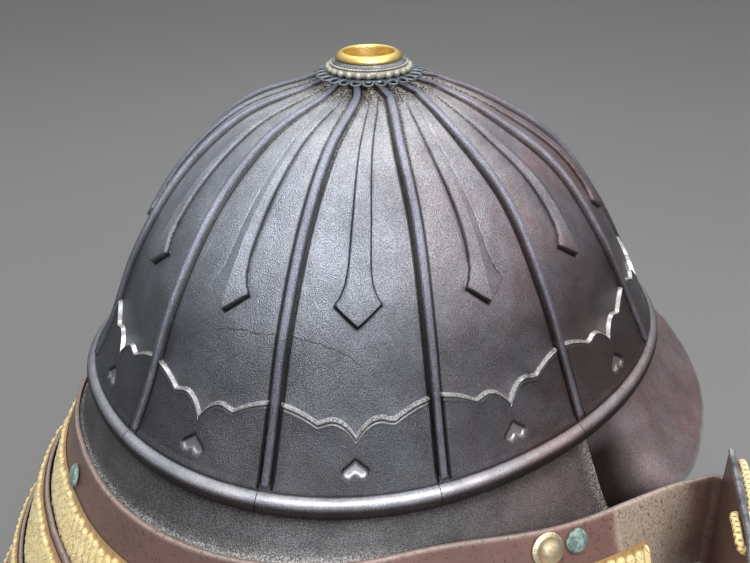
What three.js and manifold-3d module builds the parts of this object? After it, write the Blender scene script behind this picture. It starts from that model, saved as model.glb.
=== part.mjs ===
// A ridged samurai helmet (suji kabuto), in millimetres.
// +Z is up, the wearer faces -Y and the wearer's left is +X.
// The origin is where the wearer's crown sits, inside the top of the bowl.
//
// A "turn" is the plan angle round the helmet: 0 in front, 90 degrees at the wearer's left, 180 behind.
// Heights are given from the crest of the rim bead, RIM_HEIGHT below the origin.

import * as THREE from "three";
import { mergeVertices } from "three/addons/utils/BufferGeometryUtils.js";
import Module from "manifold-3d";

const wasm = await Module();
wasm.setup();

// ---------------------------------------------------------------- driving dimensions

const RIM_HEIGHT = -85;
const GAP = 0.3;
const PLATES = 12;
const IRON = 1.6;
const INNER_COLUMN = 7;

// The bowl's plan is a rounded oval, wider behind than in front.
const OVAL_POWER = 2.139;
const OVAL_EGG = -0.142;
const RIM_SADDLE = 2.9;
const RIM_FRONT = 116.2;
const RIM_BACK = 115.7;
const RIM_HALF_WIDTH = 95.9;

// Levels of the bowl, from the rim to the crown opening.
const BOWL = [
  { level: 0.0, height: 0.0, front: 116.2, back: 115.3, half: 95.9 },
  { level: 0.22, height: 19.5, front: 107.0, back: 105.2, half: 86.1 },
  { level: 0.44, height: 47.7, front: 90.7, back: 92.6, half: 76.9 },
  { level: 0.64, height: 75.4, front: 68.9, back: 73.7, half: 62.3 },
  { level: 0.82, height: 95.0, front: 40.5, back: 50.6, half: 44.5 },
  { level: 1.0, height: 105.5, front: 18.8, back: 24.3, half: 21.1 },
  { level: 1.06, height: 107.2, front: 11.2, back: 20.8, half: 15.8 },
];

const BEAD_FILLET = 4.2;
const RIB = { halfWidth: 1.9, crest: 1.0, proud: 2.3, crownProud: 0.9 };
const FENCE_PROUD = 1.0;
const BEAD = [
  { height: -3.4, proud: -0.9 },
  { height: -2.9, proud: 1.7 },
  { height: -0.6, proud: 2.9 },
  { height: 1.9, proud: 1.9 },
];

// The fence's scalloped upper edge over half a plate.
// across is 0 at the plate's middle and 1 at the ribs.
const FENCE = [
  { across: 0, height: 16.6 },
  { across: 0.29, height: 22.8 },
  { across: 0.44, height: 21.0 },
  { across: 0.62, height: 24.2 },
  { across: 1.0, height: 27.2 },
];

// The raised arrow: its half width at each height, from the barbs up to the crown.
const ARROW_TIP = 49.3;
const ARROW = [
  { height: 55.6, half: 7.3, proud: 1.2 },
  { height: 61.5, half: 3.9, proud: 1.2 },
  { height: 78.0, half: 3.0, proud: 1.1 },
  { height: 94.0, half: 2.1, proud: 1.0 },
  { height: 105.5, half: 1.4, proud: 0.7 },
  { height: 107.1, half: 1.2, proud: 0.3 },
];

// The sunken heart, point up: half its outline, from the point to the notch.
const HEART_DEPTH = 1.0;
const HEART = [
  { across: 0, height: 11.8 },
  { across: 4.9, height: 7.9 },
  { across: 4.4, height: 5.9 },
  { across: 2.3, height: 5.0 },
  { across: 0, height: 6.5 },
];

// ---------------------------------------------------------------- plan and bowl surface

const radians = THREE.MathUtils.degToRad;

// A point on a rounded oval: x to the wearer's left, y to the back.
function ovalPoint(turn, halfWidth, front, back) {
  const c = Math.cos(turn);
  const s = Math.sin(turn);
  const k = (Math.abs(c) ** OVAL_POWER + Math.abs(s) ** OVAL_POWER) ** (-1 / OVAL_POWER);
  const centre = (back - front) / 2;
  const x = halfWidth * s * k * (1 + OVAL_EGG * c);
  return new THREE.Vector2(x, centre - ((front + back) / 2) * c * k);
}

// A smooth curve through a table: a cubic between each two rows, with slopes from the rows beside them.
function smoothRow(table, key, at, name) {
  const last = table.length - 1;
  const slope = (i) => {
    const a = table[Math.max(i - 1, 0)];
    const b = table[Math.min(i + 1, last)];
    return (b[name] - a[name]) / (b[key] - a[key]);
  };
  let i = 0;
  while (i < last - 1 && at > table[i + 1][key]) i += 1;
  const a = table[i];
  const b = table[i + 1];
  const span = b[key] - a[key];
  const f = (at - a[key]) / span;
  if (f < 0) return a[name] + slope(i) * f * span;
  const f2 = f * f;
  const f3 = f2 * f;
  return (
    a[name] * (2 * f3 - 3 * f2 + 1) +
    slope(i) * span * (f3 - 2 * f2 + f) +
    b[name] * (3 * f2 - 2 * f3) +
    slope(i + 1) * span * (f3 - f2)
  );
}

function straightRow(table, key, at, name) {
  let i = 0;
  while (i < table.length - 2 && at > table[i + 1][key]) i += 1;
  const a = table[i];
  const b = table[i + 1];
  const f = THREE.MathUtils.clamp((at - a[key]) / (b[key] - a[key]), 0, 1);
  return a[name] + (b[name] - a[name]) * f;
}

function bowlSkin(turn, level) {
  const row = (name) => smoothRow(BOWL, "level", level, name);
  const p = ovalPoint(turn, row("half"), row("front"), row("back"));
  const saddle = RIM_SADDLE * Math.cos(2 * turn) * (1 - level);
  return new THREE.Vector3(p.x, p.y, RIM_HEIGHT + row("height") + saddle);
}

// The skin's point moved outwards along its normal.
function bowlPoint(turn, level, proud) {
  const step = 1e-3;
  const across = bowlSkin(turn + step, level).sub(bowlSkin(turn - step, level));
  const up = bowlSkin(turn, level + step).sub(bowlSkin(turn, level - step));
  return bowlSkin(turn, level).addScaledVector(across.cross(up).normalize(), proud);
}

// The level at which the bowl's table reaches a height.
function levelAt(height) {
  let low = -0.2;
  let high = BOWL.at(-1).level;
  for (let i = 0; i < 40; i += 1) {
    const middle = (low + high) / 2;
    if (smoothRow(BOWL, "level", middle, "height") < height) low = middle;
    else high = middle;
  }
  return (low + high) / 2;
}

// How many radians of turn make one millimetre across a plate.
function turnPerMm(turn, level) {
  const step = 1e-3;
  return (2 * step) / bowlSkin(turn + step, level).distanceTo(bowlSkin(turn - step, level));
}

// ---------------------------------------------------------------- closed shells from grids of points

// Triangles between two chains of points whose ends face each other.
function strip(out, a, b) {
  let i = 0;
  let j = 0;
  while (i < a.length - 1 || j < b.length - 1) {
    const shareA = (i + 1) / (a.length - 1);
    const shareB = (j + 1) / (b.length - 1);
    if (j === b.length - 1 || (i < a.length - 1 && shareA <= shareB)) {
      out.push(a[i], a[i + 1], b[j]);
      i += 1;
    } else {
      out.push(a[i], b[j + 1], b[j]);
      j += 1;
    }
  }
}

// A closed wall between an outer and an inner grid.
// Rows run round the helmet to the left, and each row's points run up.
function wall(outer, inner) {
  const out = [];
  for (let i = 0; i + 1 < outer.length; i += 1) strip(out, outer[i], outer[i + 1]);
  for (let i = 0; i + 1 < inner.length; i += 1) strip(out, inner[i + 1], inner[i]);
  strip(out, inner[0], outer[0]);
  strip(out, outer.at(-1), inner.at(-1));
  const edge = (grid, end) => grid.map((row) => row.at(end));
  strip(out, edge(inner, 0).reverse(), edge(outer, 0).reverse());
  strip(out, edge(inner, -1), edge(outer, -1));
  return facingOut(new THREE.BufferGeometry().setFromPoints(out));
}

function facingOut(geometry) {
  const p = geometry.getAttribute("position");
  const [a, b, c] = [new THREE.Vector3(), new THREE.Vector3(), new THREE.Vector3()];
  let volume = 0;
  for (let i = 0; i < p.count; i += 3) {
    a.fromBufferAttribute(p, i);
    b.fromBufferAttribute(p, i + 1);
    c.fromBufferAttribute(p, i + 2);
    volume += a.dot(b.cross(c));
  }
  if (volume < 0) {
    for (let i = 0; i < p.count; i += 3) {
      b.fromBufferAttribute(p, i + 1);
      c.fromBufferAttribute(p, i + 2);
      p.setXYZ(i + 1, c.x, c.y, c.z);
      p.setXYZ(i + 2, b.x, b.y, b.z);
    }
  }
  return geometry;
}

function solidOf(geometry) {
  const bare = geometry.index ? geometry.toNonIndexed() : geometry.clone();
  bare.deleteAttribute("normal");
  bare.deleteAttribute("uv");
  const merged = mergeVertices(bare, 1e-4);
  const triVerts = new Uint32Array(merged.index.array);
  const vertProperties = new Float32Array(merged.getAttribute("position").array);
  return new wasm.Manifold(new wasm.Mesh({ numProp: 3, vertProperties, triVerts }));
}

function geometryOf(solid) {
  const mesh = solid.getMesh();
  const points = [];
  for (const v of mesh.triVerts) {
    const at = v * mesh.numProp;
    points.push(new THREE.Vector3(...mesh.vertProperties.slice(at, at + 3)));
  }
  return new THREE.BufferGeometry().setFromPoints(points);
}

const range = (n) => Array.from({ length: n }, (_, i) => i);
const smoothstep = THREE.MathUtils.smoothstep;

// ---------------------------------------------------------------- bowl plates

// The columns of a plate's outer grid at one level: how far across the plate, and how proud of the skin.
// feature holds the half widths, in millimetres, of what stands out at the plate's middle.
function plateColumns(middle, level, feature, ribProud) {
  const pitch = Math.PI / PLATES;
  const mm = turnPerMm(middle, level) / pitch;
  const rib = RIB.halfWidth * turnPerMm(middle - pitch, level) / pitch;
  const crest = RIB.crest * turnPerMm(middle - pitch, level) / pitch;
  const nextRib = RIB.halfWidth * turnPerMm(middle + pitch, level) / pitch;
  const cells = feature.columns.map((c) => ({ across: c.share ?? c.mm * mm, proud: c.proud }));
  return [
    { across: -1 - rib, proud: 0 },
    { across: -1 - crest, proud: ribProud },
    { across: -1 + crest, proud: ribProud },
    { across: -1 + rib, proud: feature.base },
    ...cells.slice(1).reverse().map((c) => ({ across: -c.across, proud: c.proud })),
    ...cells,
    { across: 1 - nextRib - GAP * mm, proud: feature.base },
  ].map((c) => ({ turn: middle + c.across * pitch, proud: c.proud }));
}

const FENCE_SHARES = FENCE.slice(0, -1).map((f) => f.across);

function fenceRow(middle, lift, base) {
  const columns = FENCE_SHARES.map((share) => ({ share, proud: base }));
  return plateColumns(middle, 0.25, { columns, base }, RIB.proud).map((c) => {
    const share = Math.abs(c.turn - middle) / (Math.PI / PLATES);
    return { ...c, level: levelAt(straightRow(FENCE, "across", share, "height") + lift) };
  });
}

function plainRow(middle, height, base, ribProud) {
  const level = levelAt(height);
  const columns = FENCE_SHARES.map((share) => ({ share, proud: base }));
  return plateColumns(middle, level, { columns, base }, ribProud).map((c) => ({ ...c, level }));
}

// A row across the arrow: its ridge, its edge, the foot of its side, and a column of plain plate.
function arrowRow(middle, row, tipHeight, raised) {
  const level = levelAt(row.height);
  const plateHalf = Math.PI / PLATES / turnPerMm(middle, level);
  const free = plateHalf - RIB.halfWidth - row.half;
  const columns = [
    { mm: 0, proud: raised ? row.proud + 0.2 : 0 },
    { mm: row.half, proud: raised ? row.proud : 0 },
    { mm: row.half + Math.min(0.6, free * 0.3), proud: 0 },
    { mm: row.half + free * 0.6, proud: 0 },
  ];
  const ribProud = THREE.MathUtils.lerp(RIB.proud, RIB.crownProud, smoothstep(level, 0.9, 1.06));
  return plateColumns(middle, level, { columns, base: 0 }, ribProud).map((c) => {
    const across = Math.abs(c.turn - middle) / turnPerMm(middle, level);
    const drop = (row.height - tipHeight) * Math.max(0, 1 - across / row.half);
    return { ...c, level: levelAt(row.height - drop) };
  });
}

// The sunken heart's outline, pressed into the fence from outside.
function heartCutter(middle) {
  const half = HEART.map((p) => new THREE.Vector2(p.across, p.height));
  const other = half.slice(1, -1).reverse().map((p) => new THREE.Vector2(-p.x, p.y));
  const centre = (HEART[0].height + HEART.at(-1).height) / 2;
  const shape = new THREE.Shape([...half, ...other].map((p) => new THREE.Vector2(p.x, p.y - centre)));
  const geometry = new THREE.ExtrudeGeometry(shape, { depth: 8, bevelEnabled: false });
  const level = levelAt(centre);
  const floor = bowlPoint(middle, level, FENCE_PROUD - HEART_DEPTH);
  const out = bowlPoint(middle, level, 5).sub(floor).normalize();
  const up = bowlPoint(middle, level + 0.01, 0).sub(bowlPoint(middle, level, 0));
  const across = up.clone().cross(out).normalize();
  const frame = new THREE.Matrix4().makeBasis(across, out.clone().cross(across), out).setPosition(floor);
  return solidOf(geometry.applyMatrix4(frame));
}

function bowlPlate(middle) {
  const rows = [
    ...BEAD.map((b) => plainRow(middle, b.height, b.proud, b.proud + 0.2)),
    plainRow(middle, BEAD_FILLET, FENCE_PROUD, RIB.proud),
    fenceRow(middle, -0.5, FENCE_PROUD),
    fenceRow(middle, 0.6, 0),
    arrowRow(middle, { ...ARROW[0], height: ARROW[0].height - 0.9 }, ARROW_TIP - 0.9, false),
    ...ARROW.map((row, i) => arrowRow(middle, row, i === 0 ? ARROW_TIP : row.height, true)),
  ];
  const last = rows[0].length - 1;
  const column = (i, proud) => rows.map((row) => bowlPoint(row[i].turn, row[i].level, proud ?? row[i].proud));
  const outer = rows[0].map((_, i) => column(i));
  const inner = [0, INNER_COLUMN, last].map((i) => column(i, -IRON));
  return geometryOf(solidOf(wall(outer, inner)).subtract(heartCutter(middle)));
}

// ---------------------------------------------------------------- bands round the helmet

// The rim's oval, grown outwards and slid back, in the same turn as the bowl's.
function rimPlan(turn, grow, back = 0) {
  const p = ovalPoint(turn, RIM_HALF_WIDTH + grow, RIM_FRONT + grow, RIM_BACK + grow);
  return new THREE.Vector2(p.x, p.y + back);
}

const rimSaddle = (turn) => RIM_SADDLE * Math.cos(2 * turn);

// The koshimaki, a band hanging from inside the bead. Its lower edge turns out in a narrow flange.
// Its front ends slant forward from topEnd to bottomEnd, in degrees of turn.
const KOSHIMAKI = {
  topEnd: 73,
  bottomEnd: 70.5,
  thickness: 1.5,
  topHeight: -3.9,
  topGrow: -1.6,
  bottomHeight: -18.5,
  lean: 0.4,
  flange: 0.9,
  slide: 2.4,
  frontDeeper: 2.3,
};
// The lower edges slope down towards the visor, on both sides.
const FRONT_DROP = { start: 122, end: 76, drop: 9 };

function frontDrop(turn) {
  const side = Math.abs(Math.PI - turn);
  return FRONT_DROP.drop * smoothstep(side, radians(180 - FRONT_DROP.start), radians(180 - FRONT_DROP.end));
}

function koshimaki() {
  const k = KOSHIMAKI;
  const steps = 38;
  const rounds = range(steps + 1).map((i) => (2 * i) / steps - 1);
  const at = (round, share, grow) => {
    const end = THREE.MathUtils.lerp(k.topEnd, k.bottomEnd, share);
    const turn = Math.PI + round * radians(180 - end);
    const top = k.topHeight + rimSaddle(turn);
    const height = THREE.MathUtils.lerp(top, k.bottomHeight - frontDrop(turn) * k.frontDeeper, share);
    const p = rimPlan(turn, k.topGrow + k.lean * (top - height) + grow, k.slide * share);
    return new THREE.Vector3(p.x, p.y, RIM_HEIGHT + height);
  };
  const outer = rounds.map((r) => [at(r, 1, k.flange), at(r, 0.93, k.flange), at(r, 0.9, 0), at(r, 0, 0)]);
  const inner = rounds.map((r) => [at(r, 1, -k.thickness), at(r, 0, -k.thickness)]);
  return wall(outer, inner);
}

// The visor's edge: how far it stands out from the rim's oval and how low it is, round from the front.
const VISOR = [
  { turn: -15, grow: 27.6, height: -29.5 },
  { turn: 0, grow: 30, height: -26 },
  { turn: 15, grow: 27.6, height: -29.5 },
  { turn: 30, grow: 27.4, height: -34 },
  { turn: 45, grow: 27.4, height: -36 },
  { turn: 59, grow: 27, height: -36.4 },
  { turn: 64, grow: 18.5, height: -38.5 },
  { turn: 68, grow: 11.5, height: -41 },
  { turn: 72, grow: 6.5, height: -42 },
  { turn: 76, grow: 3.5, height: -42 },
  { turn: 81, grow: 2, height: -40 },
];
const VISOR_WALL = 1.8;
const VISOR_ROOT = { height: -3.9, grow: -4.2 };

function visor() {
  const steps = 24;
  const shares = [0, 0.35, 0.7, 1];
  const end = VISOR.at(-1).turn;
  const row = (degrees, inset) =>
    shares.map((share) => {
      const side = Math.abs(degrees);
      const turn = radians(degrees);
      const grow = smoothRow(VISOR, "turn", side, "grow");
      const low = smoothRow(VISOR, "turn", side, "height");
      const top = VISOR_ROOT.height + rimSaddle(turn);
      const out = THREE.MathUtils.lerp(VISOR_ROOT.grow, grow, share ** 1.25);
      const height = THREE.MathUtils.lerp(top, low, share ** 0.9);
      const lean = Math.min(1, Math.max(0, grow) / 25);
      const p = rimPlan(turn, out - inset * (1 - 0.4 * lean * share));
      return new THREE.Vector3(p.x, p.y, RIM_HEIGHT + height - inset * 0.7 * lean * share);
    });
  const turns = range(steps + 1).map((i) => -end + (2 * end * i) / steps);
  return wall(
    turns.map((t) => row(t, 0).reverse()),
    turns.map((t) => row(t, VISOR_WALL).reverse()),
  );
}

// ---------------------------------------------------------------- neck guard

// The top lame leaves the rim's oval at leaveTurn and runs forward through these points to its fold.
const TOP_EDGE = { grow: 7.0, slide: 3.2, leaveTurn: 118, height: -17 };
const SIDE_RUN = [
  { across: 104.8, back: 25 },
  { across: 107.6, back: 1 },
  { across: 108.3, back: -24 },
  { across: 108.2, back: -44 },
  { across: 108.6, back: -60 },
  { across: 111, back: -76 },
];
const FOLD_RADIUS = 2.4;
const FOLD_TURN = 120;
const FOLD_STEPS = 5;
const TURNBACK_LENGTH = 56;

// Each lame: its top edge's height and distance outside the top lame's line.
// lean is how much it leans out per millimetre of depth.
const LAMES = [
  { height: -17, out: 0, lean: 0.37, deep: 33 },
  { height: -46.7, out: 16, lean: 0.36, deep: 32 },
  { height: -75, out: 31, lean: 0.3, deep: 32 },
  { height: -103, out: 44, lean: 0.22, deep: 32 },
  { height: -131, out: 55, lean: 0.14, deep: 29 },
];
const LAME_WALL = 1.5;
const LACING_WALL = 2.4;
const LACING_TUCK = 3;
const LACING_START = 3.2;
const TOP_LACING_START = 15.5;
const LACE_END = -44;
const LACED_STEPS = 17;

// The top lame's upper edge in plan, from the middle of the back to the fold on the wearer's left.
function sideCurve() {
  const back = range(7).map((i) => {
    const turn = radians(180 - ((180 - TOP_EDGE.leaveTurn) * i) / 6);
    const p = rimPlan(turn, TOP_EDGE.grow, TOP_EDGE.slide);
    return new THREE.Vector3(p.x, p.y, 0);
  });
  const side = SIDE_RUN.map((p) => new THREE.Vector3(p.across, p.back, 0));
  return new THREE.CatmullRomCurve3([...back, ...side], false, "centripetal");
}
const SIDE_CURVE = sideCurve();

// Points along the curve with their outward normals, up to where it passes the given distance to the back.
function sideStations(count, frontY) {
  let low = 0;
  let high = 1;
  for (let i = 0; i < 30; i += 1) {
    const middle = (low + high) / 2;
    if (SIDE_CURVE.getPointAt(middle).y > frontY) low = middle;
    else high = middle;
  }
  return range(count + 1).map((i) => {
    const u = (high * i) / count;
    const along = SIDE_CURVE.getTangentAt(u);
    return { at: SIDE_CURVE.getPointAt(u), out: new THREE.Vector3(-along.y, along.x, 0), along };
  });
}

function dropAt(y) {
  return FRONT_DROP.drop * smoothstep(-y, -50, 28);
}

// A point of a lame: so far below its top edge, and so far outside its outer face.
function lamePoint(station, lame, depth, proud) {
  const out = lame.out + lame.lean * depth + proud;
  const height = RIM_HEIGHT + lame.height - dropAt(station.at.y) - depth;
  return station.at.clone().addScaledVector(station.out, out).setZ(height);
}

const mirrored = (p) => new THREE.Vector3(-p.x, p.y, p.z);

// Both halves of a band, from the wearer's right front round the back to the wearer's left front.
function bothSides(stations, row) {
  const left = stations.map(row);
  const right = left.slice(1).map((points) => points.map(mirrored)).reverse();
  return [...right, ...left];
}

function lowerLame(lame) {
  const stations = sideStations(LACED_STEPS, LACE_END);
  const face = (proud) => bothSides(stations, (s) => [lame.deep, 0].map((d) => lamePoint(s, lame, d, proud)));
  return wall(face(0), face(-LAME_WALL));
}

// The lacing lies on a lame from its row of holes down behind the next lame's upper edge.
function lacing(lame, next, start) {
  const stations = sideStations(LACED_STEPS, LACE_END);
  const end = lame.height - next.height + LACING_TUCK;
  const face = (proud) => bothSides(stations, (s) => [end, start].map((d) => lamePoint(s, lame, d, proud)));
  return wall(face(GAP + LACING_WALL), face(GAP));
}

// Stations of the top lame past the laced stretch: the straight run, the fold and the turned-back plate.
function frontStations() {
  const run = [];
  const ends = sideStations(1, SIDE_RUN.at(-1).back).at(-1);
  for (const y of [-52, -60, -68]) run.push(sideStations(1, y).at(-1));
  const heading = ends.along.clone();
  const centre = ends.at.clone().addScaledVector(ends.out, FOLD_RADIUS);
  const fold = range(FOLD_STEPS + 1).map((i) => {
    const angle = radians((FOLD_TURN * i) / FOLD_STEPS);
    const along = heading.clone().applyAxisAngle(new THREE.Vector3(0, 0, 1), angle);
    const out = new THREE.Vector3(-along.y, along.x, 0);
    const at = centre.clone().addScaledVector(out, -FOLD_RADIUS);
    return { at, out, along, past: 0, folded: i / FOLD_STEPS };
  });
  const last = fold.at(-1);
  const flat = [20, 41, 47, 52, 55, TURNBACK_LENGTH].map((past) => ({
    ...last,
    at: last.at.clone().addScaledVector(last.along, past),
    past,
    folded: 1,
  }));
  return [...run.map((s) => ({ ...s, past: 0, folded: 0 })), ...fold, ...flat];
}

// The turned-back plate is wider than the lame and has round corners at its outer end.
const TURNBACK = { top: -13, bottom: -73, corner: 15, lameBottom: -68 };

function turnbackEdges(station) {
  const y = station.at.y;
  const top = LAMES[0].height - dropAt(y);
  const straightBottom = top - LAMES[0].deep;
  const widen = station.folded > 0 ? 1 : smoothstep(-y, 42, 72);
  const over = Math.max(0, station.past - (TURNBACK_LENGTH - TURNBACK.corner));
  const round = TURNBACK.corner - Math.sqrt(Math.max(0, TURNBACK.corner ** 2 - over ** 2)) * 0.97;
  const lift = smoothstep(station.folded, 0.75, 1);
  const corner = station.past ? round : 0;
  const lameBottom = THREE.MathUtils.lerp(straightBottom, TURNBACK.lameBottom, widen);
  return {
    top: THREE.MathUtils.lerp(top, TURNBACK.top, lift) - corner,
    bottom: THREE.MathUtils.lerp(lameBottom, TURNBACK.bottom, lift) + corner,
  };
}

// The front stretch leans out less and less, and stands upright at the fold.
function frontPoint(station, share, proud) {
  const edges = turnbackEdges(station);
  const height = THREE.MathUtils.lerp(edges.bottom, edges.top, share);
  const lean = LAMES[0].lean * (station.folded > 0 ? 0 : 1 - smoothstep(-station.at.y, 44, 72));
  const out = lean * (edges.top - height) + proud;
  return station.at.clone().addScaledVector(station.out, out).setZ(RIM_HEIGHT + height);
}

function topLame() {
  const laced = sideStations(LACED_STEPS, LACE_END).map((s) => ({ ...s, past: 0, folded: 0 }));
  const stations = [...laced, ...frontStations()];
  const face = (proud) => bothSides(stations, (s) => [0, 1].map((share) => frontPoint(s, share, proud)));
  let solid = solidOf(wall(face(0), face(-LAME_WALL)));
  for (const hole of TURNBACK_HOLES) {
    const ends = [-4, 3].map((proud) => turnbackPoint(hole.past, hole.below, proud));
    const cutter = solidOf(cylinderAlong(...ends, TURNBACK_HOLE_RADIUS));
    solid = solid.subtract(cutter).subtract(mirroredSolid(cutter));
  }
  return geometryOf(solid);
}

function mirroredSolid(solid) {
  return solid.mirror([1, 0, 0]);
}

// An eight-sided rod between two points.
function cylinderAlong(from, to, radius) {
  const along = to.clone().sub(from);
  const axis = along.clone().normalize();
  const turned = new THREE.Quaternion().setFromUnitVectors(new THREE.Vector3(0, 1, 0), axis);
  const rod = new THREE.CylinderGeometry(radius, radius, along.length(), 8);
  const middle = from.clone().add(to).multiplyScalar(0.5);
  return rod.applyQuaternion(turned).translate(middle.x, middle.y, middle.z);
}

// A point of the wearer's left turn-back, past the fold, below its top edge and proud of its face.
function turnbackPoint(past, below, proud) {
  const end = frontStations().find((s) => s.folded === 1);
  const at = end.at.clone().addScaledVector(end.along, past).addScaledVector(end.out, proud);
  return at.setZ(RIM_HEIGHT + TURNBACK.top - below);
}

// The turned-back plate's outline from the fold's top corner round its outer end to the fold's lower corner.
function turnbackOutline() {
  const stations = frontStations().filter((s) => s.folded === 1);
  const edges = stations.map((s) => ({ past: s.past, ...turnbackEdges(s) }));
  const top = edges.map((e) => new THREE.Vector2(e.past, e.top));
  const bottom = edges.map((e) => new THREE.Vector2(e.past, e.bottom)).reverse();
  return [...top, ...bottom];
}

// The rim is a strip along that outline, a little thicker than the plate.
const RIM_STRIP = { wide: 2.0, thick: 2.3 };

function turnbackRim() {
  const outline = turnbackOutline();
  const rows = outline.map((p, i) => {
    const before = outline[Math.max(i - 1, 0)];
    const after = outline[Math.min(i + 1, outline.length - 1)];
    const a = p.clone().sub(before).normalize();
    const b = after.clone().sub(p).normalize();
    const along = a.clone().add(b).normalize();
    const out = new THREE.Vector2(-along.y, along.x);
    const stretch = 1 / Math.max(0.6, along.dot(b.length() ? b : a));
    return [GAP * 1.2, RIM_STRIP.wide].map((w) => p.clone().addScaledVector(out, w * stretch));
  });
  const face = (side) => {
    const proud = (side * RIM_STRIP.thick - LAME_WALL) / 2;
    return rows.map((row) => row.map((q) => turnbackPoint(q.x, TURNBACK.top - q.y, proud)));
  };
  return wall(face(1), face(-1));
}

// A silk cord runs along both sides of the turn-back's top edge and passes through its two holes.
const CORD_RADIUS = 1.5;
const TURNBACK_HOLE_RADIUS = 2.4;
const TURNBACK_HOLES = [
  { past: 29, below: 4.4 },
  { past: 45, below: 4.6 },
];
const CORD_ROUTE = [
  { past: 3.5, below: 9, proud: -3.6 },
  { past: 2.6, below: 5, proud: -3.6 },
  { past: 3.2, below: 1.8, proud: -4 },
  { past: 6, below: 0.4, proud: -4.1 },
  { past: 14, below: 0.2, proud: -4.1 },
  { past: 22, below: 0.3, proud: -4.1 },
  { past: 26.5, below: 1.6, proud: -4.1 },
  { past: 29, below: 4.4, proud: -2.4 },
  { past: 29, below: 4.4, proud: 0.8 },
  { past: 31.5, below: 3.2, proud: 1.8 },
  { past: 36, below: 2.8, proud: 1.8 },
  { past: 41.5, below: 3, proud: 1.8 },
  { past: 45, below: 4.6, proud: 0.8 },
  { past: 45, below: 4.6, proud: -2.4 },
  { past: 45.6, below: 7.5, proud: -3.6 },
  { past: 46, below: 11, proud: -3.6 },
];

function circle(radius, sides) {
  return new THREE.Shape(
    range(sides).map((i) => {
      const angle = (i * 2 * Math.PI) / sides;
      return new THREE.Vector2(radius * Math.cos(angle), radius * Math.sin(angle));
    }),
  );
}

function turnbackCord() {
  const points = CORD_ROUTE.map((p) => turnbackPoint(p.past, p.below, p.proud));
  const extrudePath = new THREE.CatmullRomCurve3(points, false, "centripetal");
  return new THREE.ExtrudeGeometry(circle(CORD_RADIUS, 8), { steps: 19, extrudePath, bevelEnabled: false });
}

function mirroredGeometry(geometry) {
  return geometryOf(mirroredSolid(solidOf(geometry)));
}

// ---------------------------------------------------------------- rivets

const GILT_RIVET = [
  { radius: 0, height: 0 },
  { radius: 5.8, height: 0 },
  { radius: 6.1, height: 0.8 },
  { radius: 4.6, height: 1.4 },
  { radius: 4.2, height: 2.8 },
  { radius: 2.6, height: 4.3 },
  { radius: 0, height: 5.0 },
];
const COPPER_RIVET = [
  { radius: 0, height: 0 },
  { radius: 4.3, height: 0 },
  { radius: 4.1, height: 0.9 },
  { radius: 2.6, height: 1.8 },
  { radius: 0, height: 2.1 },
];
const RIVET_SEAT = 0.55;
const RIVETS = [
  { name: "rivet_gilt", back: -3, depth: 5.6, profile: GILT_RIVET, sides: 14, finish: "gilt" },
  { name: "rivet_copper", back: -15, depth: 5.2, profile: COPPER_RIVET, sides: 12, finish: "copper" },
];
const BACK_RIVET = { depth: 9, profile: COPPER_RIVET, sides: 12 };

function lathe(profile, sides) {
  return new THREE.LatheGeometry(profile.map((p) => new THREE.Vector2(p.radius, p.height)), sides);
}

// A turned piece standing on the top lame's outer face.
function onTopLame(geometry, station, depth) {
  const foot = lamePoint(station, LAMES[0], depth, 0);
  const down = lamePoint(station, LAMES[0], depth + 1, 0).sub(foot).normalize();
  const out = station.along.clone().cross(down).normalize();
  if (out.dot(station.out) < 0) out.negate();
  const frame = new THREE.Matrix4().makeBasis(down, out, down.clone().cross(out));
  frame.setPosition(foot.addScaledVector(out, RIVET_SEAT));
  return facingOut(geometry.toNonIndexed().applyMatrix4(frame));
}

function stationAt(y) {
  return sideStations(1, y).at(-1);
}

// ---------------------------------------------------------------- crown fitting (tehen)

const CROWN_BACK = 5.4;
const PETALS = 26;
const RING_SIDES = 22;
const CROWN_BORE = 8.7;
const NECK = 9.7;
const COLLAR = [
  { radius: CROWN_BORE, height: 104.0 },
  { radius: NECK, height: 104.0 },
  { radius: NECK, height: 114.3 },
  { radius: 11.8, height: 114.3 },
  { radius: 12.1, height: 115.2 },
  { radius: 11.2, height: 116.3 },
  { radius: 9.8, height: 116.6 },
  { radius: CROWN_BORE, height: 115.6 },
];
const STEPPED_RING = [
  { radius: NECK + GAP, height: 113.2 },
  { radius: 13.3, height: 113.2 },
  { radius: 13.1, height: 113.6 },
  { radius: 12.7, height: 113.7 },
  { radius: 12.5, height: 114.0 },
  { radius: NECK + GAP, height: 114.0 },
];
const MILLED_RING = [
  { radius: NECK + GAP, height: 112.4 },
  { radius: 14.1, height: 112.4 },
  { radius: 14.2, height: 112.7 },
  { radius: 13.9, height: 113.0 },
  { radius: NECK + GAP, height: 113.0 },
];
const PEARL_BAND = [
  { radius: NECK + GAP, height: 109.8 },
  { radius: 14.2, height: 109.8 },
  { radius: 14.3, height: 112.1 },
  { radius: NECK + GAP, height: 112.1 },
];
const PEARL = { radius: 1.2, ring: 14.5, height: 110.95 };
// The petals are a flat plate with one opening each, bent down outside the pearls.
const PETAL_PLATE = {
  inner: 10.1,
  valley: 18.5,
  crest: 19.4,
  top: 109.5,
  thick: 0.8,
  slope: 0.2,
  bendFrom: 14,
};
const PETAL_OPENING = { near: 15.5, far: 18.3, half: 0.34 };

function crown(profile, sides) {
  const closed = [...profile, profile[0]];
  const upright = lathe(closed, sides).toNonIndexed().rotateX(Math.PI / 2);
  return facingOut(upright.translate(0, CROWN_BACK, RIM_HEIGHT));
}

function onCircle(radius, petal) {
  const angle = (petal * 2 * Math.PI) / PETALS;
  return new THREE.Vector2(radius * Math.cos(angle), radius * Math.sin(angle));
}

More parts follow.
